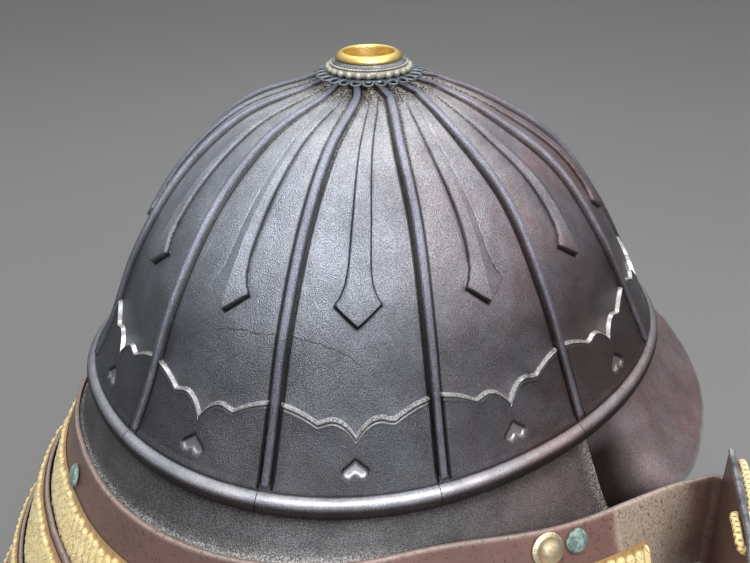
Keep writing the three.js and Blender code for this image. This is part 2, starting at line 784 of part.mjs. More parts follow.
function petalRing() {
  const p = PETAL_PLATE;
  const o = PETAL_OPENING;
  const edge = range(PETALS).flatMap((i) => [onCircle(p.valley, i - 0.5), onCircle(p.crest, i)]);
  const shape = new THREE.Shape(edge);
  shape.holes.push(new THREE.Path(range(PETALS / 2).map((i) => onCircle(p.inner, 2 * i))));
  for (const i of range(PETALS)) {
    const corners = [onCircle(o.near, i - o.half), onCircle(o.far, i), onCircle(o.near, i + o.half)];
    shape.holes.push(new THREE.Path(corners));
  }
  const plate = new THREE.ExtrudeGeometry(shape, { depth: p.thick, bevelEnabled: false });
  const points = plate.getAttribute("position");
  for (const i of range(points.count)) {
    const radius = Math.hypot(points.getX(i), points.getY(i));
    const bend = p.slope * Math.max(0, radius - p.bendFrom);
    points.setZ(i, points.getZ(i) + p.top - p.thick - bend);
  }
  return plate.translate(0, CROWN_BACK, RIM_HEIGHT);
}

function pearlRing() {
  let solid = solidOf(crown(PEARL_BAND, RING_SIDES));
  for (const i of range(PETALS)) {
    const at = onCircle(PEARL.ring, i);
    const pearl = new THREE.OctahedronGeometry(PEARL.radius, 0);
    pearl.translate(at.x, at.y + CROWN_BACK, PEARL.height + RIM_HEIGHT);
    solid = solid.add(solidOf(pearl));
  }
  return geometryOf(solid);
}

// ---------------------------------------------------------------- the group

const helmet = new THREE.Group();

const FINISH = {
  iron: { color: 0x3a3c42, roughness: 0.45, metalness: 0.8 },
  lacquer: { color: 0x4a342e, roughness: 0.5, metalness: 0.1 },
  silk: { color: 0xd8b765, roughness: 0.9, metalness: 0 },
  gilt: { color: 0xd8a020, roughness: 0.3, metalness: 1 },
  shakudo: { color: 0x767a80, roughness: 0.45, metalness: 0.8 },
  copper: { color: 0x4f7c6e, roughness: 0.85, metalness: 0.1 },
};

function add(name, geometry, finish) {
  const mesh = new THREE.Mesh(geometry, new THREE.MeshStandardMaterial(FINISH[finish]));
  mesh.name = name;
  helmet.add(mesh);
  return mesh;
}

for (const i of range(PLATES)) {
  const number = String(i + 1).padStart(2, "0");
  add(`bowl_plate_${number}`, bowlPlate((i * 2 * Math.PI) / PLATES), "iron");
}
add("koshimaki", koshimaki(), "iron");
add("visor", visor(), "iron");
add("lame_1", topLame(), "lacquer");
LAMES.slice(1).forEach((lame, i) => add(`lame_${i + 2}`, lowerLame(lame), "lacquer"));
LAMES.slice(1).forEach((next, i) => {
  const start = i === 0 ? TOP_LACING_START : LACING_START;
  add(`lacing_${i + 1}`, lacing(LAMES[i], next, start), "silk");
});

const rim = turnbackRim();
const cord = turnbackCord();
add("turnback_rim_left", rim, "shakudo");
add("turnback_rim_right", mirroredGeometry(rim), "shakudo");
add("turnback_cord_left", cord, "silk");
add("turnback_cord_right", mirroredGeometry(cord), "silk");

for (const rivet of RIVETS) {
  const geometry = onTopLame(lathe(rivet.profile, rivet.sides), stationAt(rivet.back), rivet.depth);
  add(`${rivet.name}_left`, geometry, rivet.finish);
  add(`${rivet.name}_right`, mirroredGeometry(geometry), rivet.finish);
}
const backRivet = lathe(BACK_RIVET.profile, BACK_RIVET.sides);
add("rivet_copper_back", onTopLame(backRivet, sideStations(1, LACE_END)[0], BACK_RIVET.depth), "copper");

add("tehen_petal_ring", petalRing(), "shakudo");
add("tehen_pearl_ring", pearlRing(), "shakudo");
add("tehen_milled_ring", crown(MILLED_RING, RING_SIDES), "shakudo");
add("tehen_stepped_ring", crown(STEPPED_RING, RING_SIDES), "shakudo");
add("tehen_gilt_collar", crown(COLLAR, RING_SIDES), "gilt");

export default helmet;
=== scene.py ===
"""Looks for a ridged samurai helmet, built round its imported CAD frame.

Shapes are worked out in millimetres in the frame's own axes and turned into metres when they become meshes:
+Z is up, the wearer faces -Y and the wearer's left is +X. A "turn" is the plan angle round the helmet,
0 in front, 90 degrees at the wearer's left and 180 behind. Heights count from the crest of the rim bead.
"""

import math

import bpy
import numpy as np
from mathutils import Matrix, Vector


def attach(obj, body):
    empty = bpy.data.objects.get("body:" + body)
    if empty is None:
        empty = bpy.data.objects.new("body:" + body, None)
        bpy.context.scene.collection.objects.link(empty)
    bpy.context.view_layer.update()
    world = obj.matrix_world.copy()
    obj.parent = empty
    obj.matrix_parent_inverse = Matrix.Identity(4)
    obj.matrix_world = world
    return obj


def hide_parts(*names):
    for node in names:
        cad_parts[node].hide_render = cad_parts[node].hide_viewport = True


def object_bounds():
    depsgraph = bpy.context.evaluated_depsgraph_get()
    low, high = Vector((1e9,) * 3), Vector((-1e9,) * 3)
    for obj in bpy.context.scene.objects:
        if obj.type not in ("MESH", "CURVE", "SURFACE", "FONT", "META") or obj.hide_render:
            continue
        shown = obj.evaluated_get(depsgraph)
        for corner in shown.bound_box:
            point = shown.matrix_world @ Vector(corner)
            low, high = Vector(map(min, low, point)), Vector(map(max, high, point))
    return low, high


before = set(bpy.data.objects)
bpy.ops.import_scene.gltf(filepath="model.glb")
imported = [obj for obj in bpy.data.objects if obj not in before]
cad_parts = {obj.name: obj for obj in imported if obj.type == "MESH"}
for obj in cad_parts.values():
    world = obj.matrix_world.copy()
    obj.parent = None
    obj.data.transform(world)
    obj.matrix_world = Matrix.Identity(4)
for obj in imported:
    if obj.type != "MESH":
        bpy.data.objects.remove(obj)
cad_low, cad_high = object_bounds()

bl_info = {
    "name": "Ridged helmet",
    "version": (1, 0, 0),
    "blender": (4, 5, 0),
    "location": "View3D > Sidebar > Helmet",
    "description": "Builds the plates, lacing, fittings and finishes of a ridged samurai helmet",
    "category": "Add Mesh",
}

MM = 0.001
# where the rim bead's crest stands in the frame
RIM_HEIGHT = -85.0
PLATES = 12
# half of a plate's turn: across a plate, its left rib is at -1 and its right rib at 1
HALF_PLATE = math.pi / PLATES
PLATE_WALL = 1.6
# a distance that stands for nowhere near
FAR = 9.0

# ---------------------------------------------------------------- plan and bowl surface

# the plan's power, how much it narrows in front, and how far its rim dips at the sides
OVAL_POWER = 2.139
OVAL_EGG = -0.142
RIM_SADDLE = 2.9
RIM_FRONT, RIM_BACK, RIM_HALF_WIDTH = 116.2, 115.7, 95.9

# level, height, front, back, half width
BOWL = np.array([
    (0.0, 0.0, 116.2, 115.3, 95.9),
    (0.22, 19.5, 107.0, 105.2, 86.1),
    (0.44, 47.7, 90.7, 92.6, 76.9),
    (0.64, 75.4, 68.9, 73.7, 62.3),
    (0.82, 95.0, 40.5, 50.6, 44.5),
    (1.0, 105.5, 18.8, 24.3, 21.1),
    (1.06, 107.2, 11.2, 20.8, 15.8),
])


def smoothstep(x, low, high):
    """0 up to low, 1 past high and 3t^2 - 2t^3 between; with low above high it falls instead."""
    t = np.clip((np.asarray(x, float) - low) / (high - low), 0, 1)
    return t * t * (3 - 2 * t)


def mix(a, b, share):
    """a + (b - a) share."""
    return a + (b - a) * share


def smooth_row(keys, values, at):
    """A cubic between each two rows of a table, with slopes from the rows beside them.

    Before the first row it is a straight line.
    """
    keys, values = np.asarray(keys, float), np.asarray(values, float)
    at = np.asarray(at, float)
    last = len(keys) - 1
    before = np.maximum(np.arange(last + 1) - 1, 0)
    after = np.minimum(np.arange(last + 1) + 1, last)
    slope = (values[after] - values[before]) / (keys[after] - keys[before])
    i = np.clip(np.searchsorted(keys, at, side="left") - 1, 0, last - 1)
    span = keys[i + 1] - keys[i]
    f = (at - keys[i]) / span
    f2, f3 = f * f, f * f * f
    cubic = (
        values[i] * (2 * f3 - 3 * f2 + 1)
        + slope[i] * span * (f3 - 2 * f2 + f)
        + values[i + 1] * (3 * f2 - 2 * f3)
        + slope[i + 1] * span * (f3 - f2)
    )
    return np.where(f < 0, values[i] + slope[i] * f * span, cubic)


def oval(turn, half, front, back):
    """A rounded oval: a superellipse of power OVAL_POWER, narrowed in front by OVAL_EGG."""
    c, s = np.cos(turn), np.sin(turn)
    k = (np.abs(c) ** OVAL_POWER + np.abs(s) ** OVAL_POWER) ** (-1 / OVAL_POWER)
    x = half * s * k * (1 + OVAL_EGG * c)
    return x, (back - front) / 2 - (front + back) / 2 * c * k


LEVELS = np.linspace(-0.2, 1.06, 1200)
LEVEL_HEIGHTS = smooth_row(BOWL[:, 0], BOWL[:, 1], LEVELS)


def level_at(height):
    """The level at which the bowl's table reaches a height."""
    return np.interp(height, LEVEL_HEIGHTS, LEVELS)


def bowl_skin(turn, level):
    """The bowl's smooth surface: at each level an oval, whose rim dips at the sides like a saddle."""
    row = [smooth_row(BOWL[:, 0], BOWL[:, n], level) for n in (1, 2, 3, 4)]
    x, y = oval(turn, row[3], row[1], row[2])
    z = RIM_HEIGHT + row[0] + RIM_SADDLE * np.cos(2 * turn) * (1 - level)
    return np.stack([x, y, z], -1)


def unit(v):
    """Vectors of length 1: v / |v|."""
    return v / np.maximum(np.linalg.norm(v, axis=-1, keepdims=True), 1e-12)


# how far the skin's slopes are felt for, in radians and in levels
SLOPE_STEP = 1e-3


def bowl_point(turn, level, proud):
    """The skin moved outwards along its normal, the cross product of its two tangents."""
    across = bowl_skin(turn + SLOPE_STEP, level) - bowl_skin(turn - SLOPE_STEP, level)
    up = bowl_skin(turn, level + SLOPE_STEP) - bowl_skin(turn, level - SLOPE_STEP)
    return bowl_skin(turn, level) + unit(np.cross(across, up)) * np.asarray(proud)[..., None]


def turn_per_mm(turn, level):
    """How many radians of turn make one millimetre across a plate."""
    gap = np.linalg.norm(bowl_skin(turn + SLOPE_STEP, level) - bowl_skin(turn - SLOPE_STEP, level), axis=-1)
    return 2 * SLOPE_STEP / gap


# ---------------------------------------------------------------- meshes from grids of points


def quads(rows, cols, close_rows=False, close_cols=False):
    """The faces of a grid of points, which may close on itself either way."""
    i = np.arange(rows if close_rows else rows - 1)[:, None]
    j = np.arange(cols if close_cols else cols - 1)[None, :]
    a = i * cols + j
    b = i * cols + (j + 1) % cols
    c = (i + 1) % rows * cols + (j + 1) % cols
    d = (i + 1) % rows * cols + j
    return np.stack([a, b, c, d], -1).reshape(-1, 4)


def volume(points, faces):
    """Six times the enclosed volume, summed over the faces' fans of triangles."""
    total = 0.0
    for f in faces:
        p = points[f]
        for n in range(1, f.shape[1] - 1):
            total += np.einsum("ij,ij->", p[:, 0], np.cross(p[:, n], p[:, n + 1]))
    return total


def make_piece(name, node, kind, points, faces, attributes=None, sharp=50):
    """A piece that stands for a CAD node, from points in millimetres and arrays of faces.

    kind names its finish. Its faces are turned to face outwards, and edges that bend by more than sharp
    degrees stay crisp.
    """
    material = finish(kind)
    points = points.reshape(-1, 3)
    if volume(points, faces) < 0:
        faces = [f[:, ::-1] for f in faces]
    mesh = bpy.data.meshes.new(name)
    loops = np.concatenate([f.ravel() for f in faces])
    sizes = np.concatenate([np.full(len(f), f.shape[1]) for f in faces])
    starts = np.concatenate([[0], np.cumsum(sizes)[:-1]])
    mesh.vertices.add(len(points))
    mesh.vertices.foreach_set("co", (points * MM).astype(np.float32).ravel())
    mesh.loops.add(len(loops))
    mesh.loops.foreach_set("vertex_index", loops.astype(np.int32))
    mesh.polygons.add(len(sizes))
    mesh.polygons.foreach_set("loop_start", starts.astype(np.int32))
    for label, values in (attributes or {}).items():
        layer = mesh.attributes.new(label, "FLOAT", "POINT")
        layer.data.foreach_set("value", values.astype(np.float32))
    mesh.update(calc_edges=True)
    mesh.validate()
    mesh.shade_smooth()
    mesh.set_sharp_from_angle(angle=math.radians(sharp))
    mesh.materials.append(material)
    piece = bpy.data.objects.new(name, mesh)
    bpy.context.scene.collection.objects.link(piece)
    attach(piece, "root")
    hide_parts(node)


def slab(outer, inner):
    """A closed wall between two grids of the same shape: both faces and the four edges between them."""
    rows, cols = outer.shape[:2]
    n = rows * cols
    front = quads(rows, cols)
    back = front[:, ::-1] + n
    i = np.arange(rows - 1) * cols
    j = np.arange(cols - 1)
    last = (rows - 1) * cols
    edges = [
        np.stack([i, i + cols, i + cols + n, i + n], -1),
        np.stack([i + cols, i, i + n, i + cols + n], -1) + cols - 1,
        np.stack([j + 1, j, j + n, j + 1 + n], -1),
        np.stack([j, j + 1, j + 1 + n, j + n], -1) + last,
    ]
    points = np.concatenate([outer.reshape(-1, 3), inner.reshape(-1, 3)])
    return points, [np.concatenate([front, back, *edges])]


def shell(outer, inner):
    """A closed wall whose inner grid has as many rows as the outer one and fewer columns."""
    rows, cols = outer.shape[:2]
    few = inner.shape[1]
    n = rows * cols
    front = quads(rows, cols)
    back = quads(rows, few)[:, ::-1] + n
    i = np.arange(rows - 1)
    left = np.stack([i * cols, (i + 1) * cols, n + (i + 1) * few, n + i * few], -1)
    right = np.stack([(i + 1) * cols, i * cols, n + i * few, n + (i + 1) * few], -1)
    right += np.array([cols - 1, cols - 1, few - 1, few - 1])
    j = np.arange(cols - 1)
    near = np.round(j * (few - 1) / (cols - 1)).astype(int)
    k = np.arange(few - 1)
    switch = np.searchsorted(near, k + 1)
    thin = []
    for row, turned in ((0, False), (rows - 1, True)):
        a = np.stack([row * cols + j + 1, row * cols + j, n + row * few + near], -1)
        b = np.stack([n + row * few + k + 1, row * cols + switch, n + row * few + k], -1)
        both = np.concatenate([a, b])
        thin.append(both[:, ::-1] if turned else both)
    points = np.concatenate([outer.reshape(-1, 3), inner.reshape(-1, 3)])
    return points, [np.concatenate([front, back, left, right]), np.concatenate(thin)]


def around(sides):
    """Angles evenly spaced round a full turn."""
    return np.arange(sides) * 2 * math.pi / sides


def turned_solid(profile, sides, swell=None):
    """A closed profile of (radius, height) swept round +Z; swell(angle, row) adds to a row's radius."""
    angle = around(sides)[:, None]
    r, z = (np.repeat(np.asarray(profile, float)[None, :, n], sides, 0) for n in (0, 1))
    if swell is not None:
        r = r + swell(angle, np.arange(len(profile))[None, :])
    points = np.stack([r * np.cos(angle), r * np.sin(angle), z], -1)
    return points.reshape(-1, 3), [quads(sides, len(profile), close_rows=True, close_cols=True)]


def frames_along(path):
    """Unit side and up of a path; the side is level, and a tiny nudge settles it on an upright stretch."""
    along = unit(np.gradient(path, axis=0))
    side = unit(np.cross(along, np.array([0.0, 0.0, 1.0])) + np.array([1e-9, 0, 0]))
    return side, np.cross(side, along)


def catmull(points, samples):
    """A centripetal Catmull-Rom curve through points, sampled evenly along its length."""
    p = np.asarray(points, float)
    p = np.concatenate([[2 * p[0] - p[1]], p, [2 * p[-1] - p[-2]]])
    gap = np.sqrt(np.linalg.norm(np.diff(p, axis=0), axis=1))
    t = np.linspace(0, 1, 40, endpoint=False)[:, None]
    out = []
    for n in range(len(p) - 3):
        a, b, c, d = p[n : n + 4]
        g0, g1, g2 = gap[n : n + 3]
        m1 = ((b - a) / g0 - (c - a) / (g0 + g1) + (c - b) / g1) * g1
        m2 = ((c - b) / g1 - (d - b) / (g1 + g2) + (d - c) / g2) * g1
        h = (2 * t**3 - 3 * t**2 + 1, t**3 - 2 * t**2 + t, 3 * t**2 - 2 * t**3, t**3 - t**2)
        out.append(h[0] * b + h[1] * m1 + h[2] * c + h[3] * m2)
    fine = np.concatenate([*out, p[-2][None]])
    length = np.concatenate([[0], np.cumsum(np.linalg.norm(np.diff(fine, axis=0), axis=1))])
    at = np.linspace(0, length[-1], samples)
    return np.stack([np.interp(at, length, fine[:, n]) for n in range(fine.shape[1])], -1)


def faced(count, **pairs):
    """A wall's attributes from pairs: values over its outer grid and over its count inner points."""
    return {
        name: np.concatenate([np.ravel(front), np.broadcast_to(np.ravel(back), count)])
        for name, (front, back) in pairs.items()
    }


# ---------------------------------------------------------------- bowl plates

# half the width kept for a rib, half the width that is rounded, and where a rib starts above the rim
RIB_HALF, RIB_ROUND, RIB_FOOT = 1.9, 1.6, 2.4
# the fence's top: heights at the middle of a plate and at its ribs, and (share of the way, height) between
FENCE_MIDDLE, FENCE_RIB = 18.6, 28.0
FENCE_LOBE, FENCE_CUSP = (0.29, 24.4), (0.44, 22.8)
# proud, distance below the fence's edge, width: a bead, a groove and a finer bead
FENCE_LINES = ((0.4, 0.4, 0.4), (-0.2, 1.15, 0.3), (0.12, 1.8, 0.36))
# heights of the arrow's tip and barbs, half its width there, and how proud its table draws it
ARROW_TIP, ARROW_CORNER, ARROW_HALF, ARROW_PROUD = 51.0, 57.0, 7.3, 1.2
# roughly the cosines of the slanting sides and barbs
SIDE_SLANT, BARB_SLANT = 0.93, 0.75
# height, half width, proud
ARROW = np.array([
    (57.0, 7.3, 1.2),
    (59.2, 5.6, 1.2),
    (62.3, 4.2, 1.2),
    (67.0, 3.4, 1.15),
    (78.0, 2.9, 1.1),
    (94.0, 2.1, 0.9),
    (105.5, 1.4, 0.5),
    (108.5, 1.2, 0.3),
])
# height, proud: from under the bead up to the plate
BEAD = np.array([
    (-3.4, -0.9),
    (-3.35, 0.4),
    (-3.1, 1.4),
    (-2.4, 2.3),
    (-1.2, 2.85),
    (0.0, 2.95),
    (1.1, 2.6),
    (2.0, 1.9),
    (2.5, 1.25),
    (2.8, 0.95),
    (3.1, 1.3),
    (3.9, 1.35),
    (5.2, 1.05),
])
# across, height: half of the sunken heart, from its point round a lobe to the notch
HEART = np.array([
    (0.0, 13.0),
    (1.8, 11.6),
    (3.9, 10.2),
    (4.4, 9.2),
    (4.0, 8.0),
    (2.9, 7.3),
    (1.6, 7.3),
    (0.6, 7.9),
    (0.0, 8.4),
])


def fence_height(share):
    """The fence's top: a steep lobe beside the middle notch, a cusp, and a long lobe up to the rib.

    Along each stretch, t from 0 to 1, they are sin(pi/2 t^0.85), a fall by t^2, and 1 - (1 - t)^1.9.
    """
    s = np.abs(share)
    (lobe_at, lobe), (cusp_at, cusp) = FENCE_LOBE, FENCE_CUSP
    rise = FENCE_MIDDLE + (lobe - FENCE_MIDDLE) * np.sin(np.pi / 2 * np.clip(s / lobe_at, 0, 1) ** 0.85)
    fall = lobe - (lobe - cusp) * ((s - lobe_at) / (cusp_at - lobe_at)) ** 2
    t = np.clip((s - cusp_at) / (1 - cusp_at), 0, 1)
    last = cusp + (FENCE_RIB - cusp) * (1 - (1 - t) ** 1.9)
    return np.where(s < lobe_at, rise, np.where(s < cusp_at, fall, last))


def barb_height(across):
    """The arrowhead's lower edge: from its tip straight up to its corners, and level outside them."""
    share = np.minimum(np.abs(across) / ARROW_HALF, 1)
    return ARROW_TIP + (ARROW_CORNER - ARROW_TIP) * share


def inside_outline(outline, x, y):
    """The distance inside a closed outline, negative outside: the nearest of its straight edges."""
    a, b = outline, np.roll(outline, -1, 0)
    d = b - a
    px, py = x[..., None] - a[:, 0], y[..., None] - a[:, 1]
    t = np.clip((px * d[:, 0] + py * d[:, 1]) / (d * d).sum(1), 0, 1)
    gap = np.hypot(px - t * d[:, 0], py - t * d[:, 1]).min(-1)
    crosses = (py >= 0) != (y[..., None] >= b[:, 1])
    over = px < d[:, 0] * py / np.where(d[:, 1] == 0, 1e-9, d[:, 1])
    odd = (crosses & over).sum(-1) % 2 == 1
    return np.where(odd, gap, -gap)


def line_of(values, centre, width):
    """A narrow bell: exp(-((v - centre) / width)^2)."""
    return np.exp(-(((values - centre) / width) ** 2))


def heart_distance(across, height):
    """The distance inside the sunken heart, and -FAR well away from it."""
    outline = np.concatenate([HEART, HEART[-2:0:-1] * [-1, 1]])
    near = (np.abs(across) < 8) & (height > 4) & (height < 16)
    inside = np.full(across.shape, -FAR)
    inside[near] = inside_outline(outline, across[near], height[near])
    return inside


def arrow_relief(across, height, thickness):
    """The raised arrow, the moat round it, the distance inside it, and where its tip is the nearest edge.

    Its top is a roof along the middle. The slants turn level and upright gaps into distances to its edges.
    """
    half, proud = (np.interp(height, ARROW[:, 0], ARROW[:, n]) for n in (1, 2))
    side_in = (half - np.abs(across)) * SIDE_SLANT
    tip_in = (height - barb_height(across)) * BARB_SLANT
    inside = np.minimum(side_in, tip_in)
    at_tip = tip_in < side_in
    roof = 0.95 * np.clip(1 - np.abs(across) / np.maximum(half, 0.1), 0, 1) * smoothstep(height, 107, 60)
    arrow = (proud * thickness / ARROW_PROUD + roof) * smoothstep(inside, -0.12, 0.3)
    moat = line_of(inside, -0.45, 0.33) * (0.3 + 0.35 * at_tip) * smoothstep(height, 46, 50)
    return arrow, moat, inside, at_tip


def rib_relief(left, height, proud):
    """The rounded rib, (1 - (left / RIB_ROUND)^4)^0.6 across; it sinks toward the crown and into the bead."""
    crest = mix(proud, proud * 0.35, smoothstep(level_at(height), 0.7, 1.04))
    crest = crest * smoothstep(height, RIB_FOOT, 4.6)
    return crest * np.clip(1 - np.abs(left / RIB_ROUND) ** 4, 0, 1) ** 0.6


def plate_masks(height, left, right, below, heart_in, arrow_in, at_tip, on_rib):
    """A plate's masks from 0 to 1, for dirt and painted shade, rubbing and painted highlights, dust and
    painted highlights, and its overlay with painted shade lower down, and its distances from its lines.
    """
    in_heart = smoothstep(heart_in, 0.1, 0.7)
    grime = np.maximum.reduce([
        # painted shade under the barbs, round the heart's top, under the bead and in the groove above it, and
        # painted shadow round the crown fitting
        line_of(arrow_in, -0.35, 0.45) * at_tip,
        0.9 * line_of(heart_in, 0.15, 0.4) * smoothstep(height, 8.6, 9.8),
        0.95 * smoothstep(height, 0.9, -0.9),
        0.7 * line_of(height, 2.9, 0.3),
        0.97 * smoothstep(height, 103.0, 103.8),
    ])
    # painted highlight on the heart's lower lip, which faces up
    lit_lower_lip = line_of(heart_in, 0.2, 0.7) * smoothstep(height, 9.4, 8.2)
    beside = line_of(left, 5.0, 1.7) + 0.7 * line_of(right, 4.2, 1.3)
    dusty = 0.35 * np.clip(beside, 0, 1) * smoothstep(height, 25, 80) + 0.5 * smoothstep(height, 84, 102)
    # painted shade: the bowl darkens from 76 mm down to 34 mm; below the fence, the darker overlay plate
    overlay = np.maximum(0.88 * smoothstep(height, 76, 34), smoothstep(below, -0.1, 0.4) * (height > 2.6))
    overlay = overlay * (1 - 0.6 * in_heart) * smoothstep(height, 2.2, 3.2)
    upper = height > 3.2
    return {
        "grime": grime,
        # bright on the bead's upper face, partly rubbed and partly painted highlight, and paler inside the
        # heart
        "wear": np.maximum(0.5 * line_of(height, 1.5, 0.7), 0.55 * in_heart),
        "dusty": np.clip(np.maximum(dusty, lit_lower_lip), 0, 1) * (1 - on_rib),
        "overlay": overlay * (1 - 0.2 * on_rib),
        "rib_gap": np.where(upper, np.minimum(np.abs(left), right), FAR).clip(0, FAR),
        "arrow_in": np.where(height > 40, arrow_in, -FAR).clip(-FAR, FAR),
        "below_fence": np.where(on_rib | ~upper, FAR, below).clip(-FAR, FAR),
    }


def plate_relief(across, share, height, left, right, sizes):
    """How proud of the skin a plate stands, and the masks and distances that its finish reads.

    across and height are in millimetres, share is across over half the plate, and left and right are the
    distances from the middle lines of the two ribs. The relief is the sum of a fence, a sunken heart, a
    raised arrow and narrow grooves beside the ribs, over which the bead and the rounded rib are laid.
    """
    below = fence_height(share) - height
    fence = sizes.fence_proud * smoothstep(below, -0.35, 0.35)
    fence = fence + sum(proud * line_of(below, centre, width) for proud, centre, width in FENCE_LINES)
    heart_in = heart_distance(across, height)
    heart = -sizes.heart_depth * smoothstep(heart_in, -0.45, 0.9)
    arrow, moat, arrow_in, at_tip = arrow_relief(across, height, sizes.arrow_proud)
    plate = fence + arrow - moat
    plate = plate + heart * smoothstep(below, 0.5, 1.5)
    beads = np.interp(height, BEAD[:, 0], BEAD[:, 1])
    plate = np.where(height < BEAD[-1, 0], np.where(height < 3.6, beads, np.maximum(beads, plate)), plate)
    groove = 0.4 * (line_of(left, 2.3, 0.45) + line_of(right, 2.3, 0.45)) * smoothstep(height, 4.0, 6.5)
    plate = plate - groove
    rib = rib_relief(left, height, sizes.rib_proud)
    on_rib = (np.abs(left) < RIB_HALF) & (height > RIB_FOOT)
    proud = np.where(on_rib, np.maximum(rib, np.where(height < 5, plate, 0)), plate)
    return proud, plate_masks(height, left, right, below, heart_in, arrow_in, at_tip, on_rib)


def spaced(*stretches):
    """Rows through stretches of (start, end, step), each shared out evenly."""
    parts = [np.linspace(a, b, max(2, round((b - a) / step) + 1))[:-1] for a, b, step in stretches]
    return np.concatenate([*parts, [stretches[-1][1]]])


# (start, end, step): a plate's rows by height, its columns beside a rib in millimetres, and those between the
# ribs by their share of the way
PLATE_ROWS = (
    (-3.4, -2.2, 0.3), (-2.2, 2.0, 0.6), (2.0, 4.4, 0.3), (4.4, 12.2, 0.42), (12.2, 19.0, 0.8),
    (19.0, 24.6, 0.33), (24.6, 46.0, 1.9), (46.0, 54.0, 0.9), (54.0, 57.4, 0.32), (57.4, 66.0, 1.0),
    (66.0, 107.2, 2.0),
)
RIB_COLUMNS = ((-RIB_HALF, -1.2, 0.24), (-1.2, 1.2, 0.4), (1.2, 3.3, 0.26))
WIDE_COLUMNS = (
    (0.0, 0.28, 0.05), (0.28, 0.4, 0.015), (0.4, 0.6, 0.009), (0.6, 0.72, 0.015), (0.72, 1.0, 0.05),
)
# the fence's mean height, and the heights between which rows bend to follow the fence and the barbs: fully
# between the middle two
FENCE_MEAN = 22.0
FENCE_BEND, BARB_BEND = (12.2, 19.0, 24.6, 46.0), (46.0, 54.0, 57.4, 68.0)
BACK_COLUMNS = 7
# between a plate and the next one's rib, in millimetres
PLATE_GAP = 0.3
# what a plate's masks and distances are on its inside
PLATE_BACK = {
    "grime": 0.4, "wear": 0.0, "dusty": 0.2, "overlay": 0.5,
    "rib_gap": FAR, "arrow_in": -FAR, "below_fence": FAR,
}


def plate_surface(middle, sizes):
    """One plate of the bowl round its middle turn: rows follow the fence and barbs, and columns the ribs."""
    rows, zone, shares = (spaced(*table) for table in (PLATE_ROWS, RIB_COLUMNS, WIDE_COLUMNS))
    level = level_at(rows)[:, None]
    ones = np.ones_like(level)
    per_mm, per_mm_left, per_mm_right = (
        turn_per_mm((middle + side * HALF_PLATE) * ones, level) / HALF_PLATE for side in (0, -1, 1)
    )
    start = -1 + zone[-1] * per_mm_left
    end = 1 - zone[-1] * per_mm_right
    edge = 1 - (RIB_HALF + PLATE_GAP) * per_mm_right
    columns = np.concatenate([
        -1 + zone[None, :] * per_mm_left,
        start + (end - start) * shares[None, 1:],
        end + (edge - end) * np.linspace(0, 1, 6)[None, 1:],
    ], 1)
    across = columns / per_mm
    fence_bend, barb_bend = (np.interp(rows, bend, [0, 1, 1, 0])[:, None] for bend in (FENCE_BEND, BARB_BEND))
    height = rows[:, None] + fence_bend * (fence_height(columns) - FENCE_MEAN)
    height = height + barb_bend * (barb_height(across) - ARROW_CORNER)
    left = (columns + 1) / per_mm_left
    right = (1 - columns) / per_mm_right
    proud, masks = plate_relief(across, columns, height, left, right, sizes)
    turn = middle + columns * HALF_PLATE
    outer = bowl_point(turn, level_at(height), proud)
    few = np.linspace(0, columns.shape[1] - 1, BACK_COLUMNS).astype(int)
    behind = np.full((len(rows), BACK_COLUMNS), -PLATE_WALL)
    inner = bowl_point(turn[:, few], level_at(height[:, few]), behind)
    pairs = {name: (mask, PLATE_BACK[name]) for name, mask in masks.items()}
    return *shell(outer, inner), faced(behind.size, **pairs)


# ---------------------------------------------------------------- koshimaki and visor


# where the koshimaki and the visor start under the bead, and how much lower the neck guard hangs in front
HANG_TOP = -3.9
FRONT_DROP = 9


def rim_plan(turn, grow, back=0.0):
    """The rim's oval grown outwards and slid back."""
    x, y = oval(turn, RIM_HALF_WIDTH + grow, RIM_FRONT + grow, RIM_BACK + grow)
    return x, y + back


def hang_top(turn):
    """The height under the bead at a turn: it follows the rim's saddle."""
    return HANG_TOP + RIM_SADDLE * np.cos(2 * turn)


def front_drop(turn):
    """The same drop by turn: 0 behind, and FRONT_DROP beside the face."""
    return FRONT_DROP * smoothstep(np.abs(math.pi - turn), math.radians(58), math.radians(104))


# share of the way down, grow: the flange at the foot is smoothly rounded
BAND_PROFILE = np.array([
    (1.0, -1.5), (1.02, -0.4), (1.02, 0.6), (1.0, 1.15), (0.975, 1.25), (0.945, 1.0), (0.915, 0.35),
    (0.88, 0.0), (0.7, 0.0), (0.5, 0.0), (0.25, 0.0), (0.0, 0.0),
])
BAND_WALL = 1.5
# the band's ends in degrees from the front, at its top and its foot, and the height of its foot behind
BAND_ENDS, BAND_FOOT = (73, 70.5), -18.5
# its foot falls by this many front drops, and it spreads by this much for each millimetre down
BAND_FALL, BAND_SPREAD = 2.3, 0.4


def koshimaki_surface():
    """The hanging band: the rim's oval swept down and out between slanting ends, with a turned-out foot."""
    rounds = np.linspace(-1, 1, 260)[:, None]

    def at(share, grow):
        turn = math.pi + rounds * np.radians(180 - mix(*BAND_ENDS, share))
        top = hang_top(turn)
        height = mix(top, BAND_FOOT - front_drop(turn) * BAND_FALL, share)
        x, y = rim_plan(turn, -1.6 + BAND_SPREAD * (top - height) + grow, 2.4 * share)
        return np.stack([x, y, RIM_HEIGHT + height], -1)

    outer = at(BAND_PROFILE[None, :, 0], BAND_PROFILE[None, :, 1])
    shares = np.linspace(1, 0, len(BAND_PROFILE))[None, :]
    inner = at(shares, np.full_like(shares, -BAND_WALL))
    down = np.repeat(BAND_PROFILE[None, :, 0], len(rounds), 0)
    end = smoothstep(np.abs(rounds), 0.965, 1.0)
    wear = 0.4 * smoothstep(down, 0.93, 1.0)
    dusty = np.maximum(0.85 * smoothstep(down, 0.84, 0.93), np.maximum(0.15, end))
    # painted shade under the bead, at the top of the band
    grime = smoothstep(down, 0.35, 0.0) * (1 - end)
    return *slab(outer, inner), faced(down.size, wear=(wear, 0.0), grime=(grime, 0.4), dusty=(dusty, 0.0))


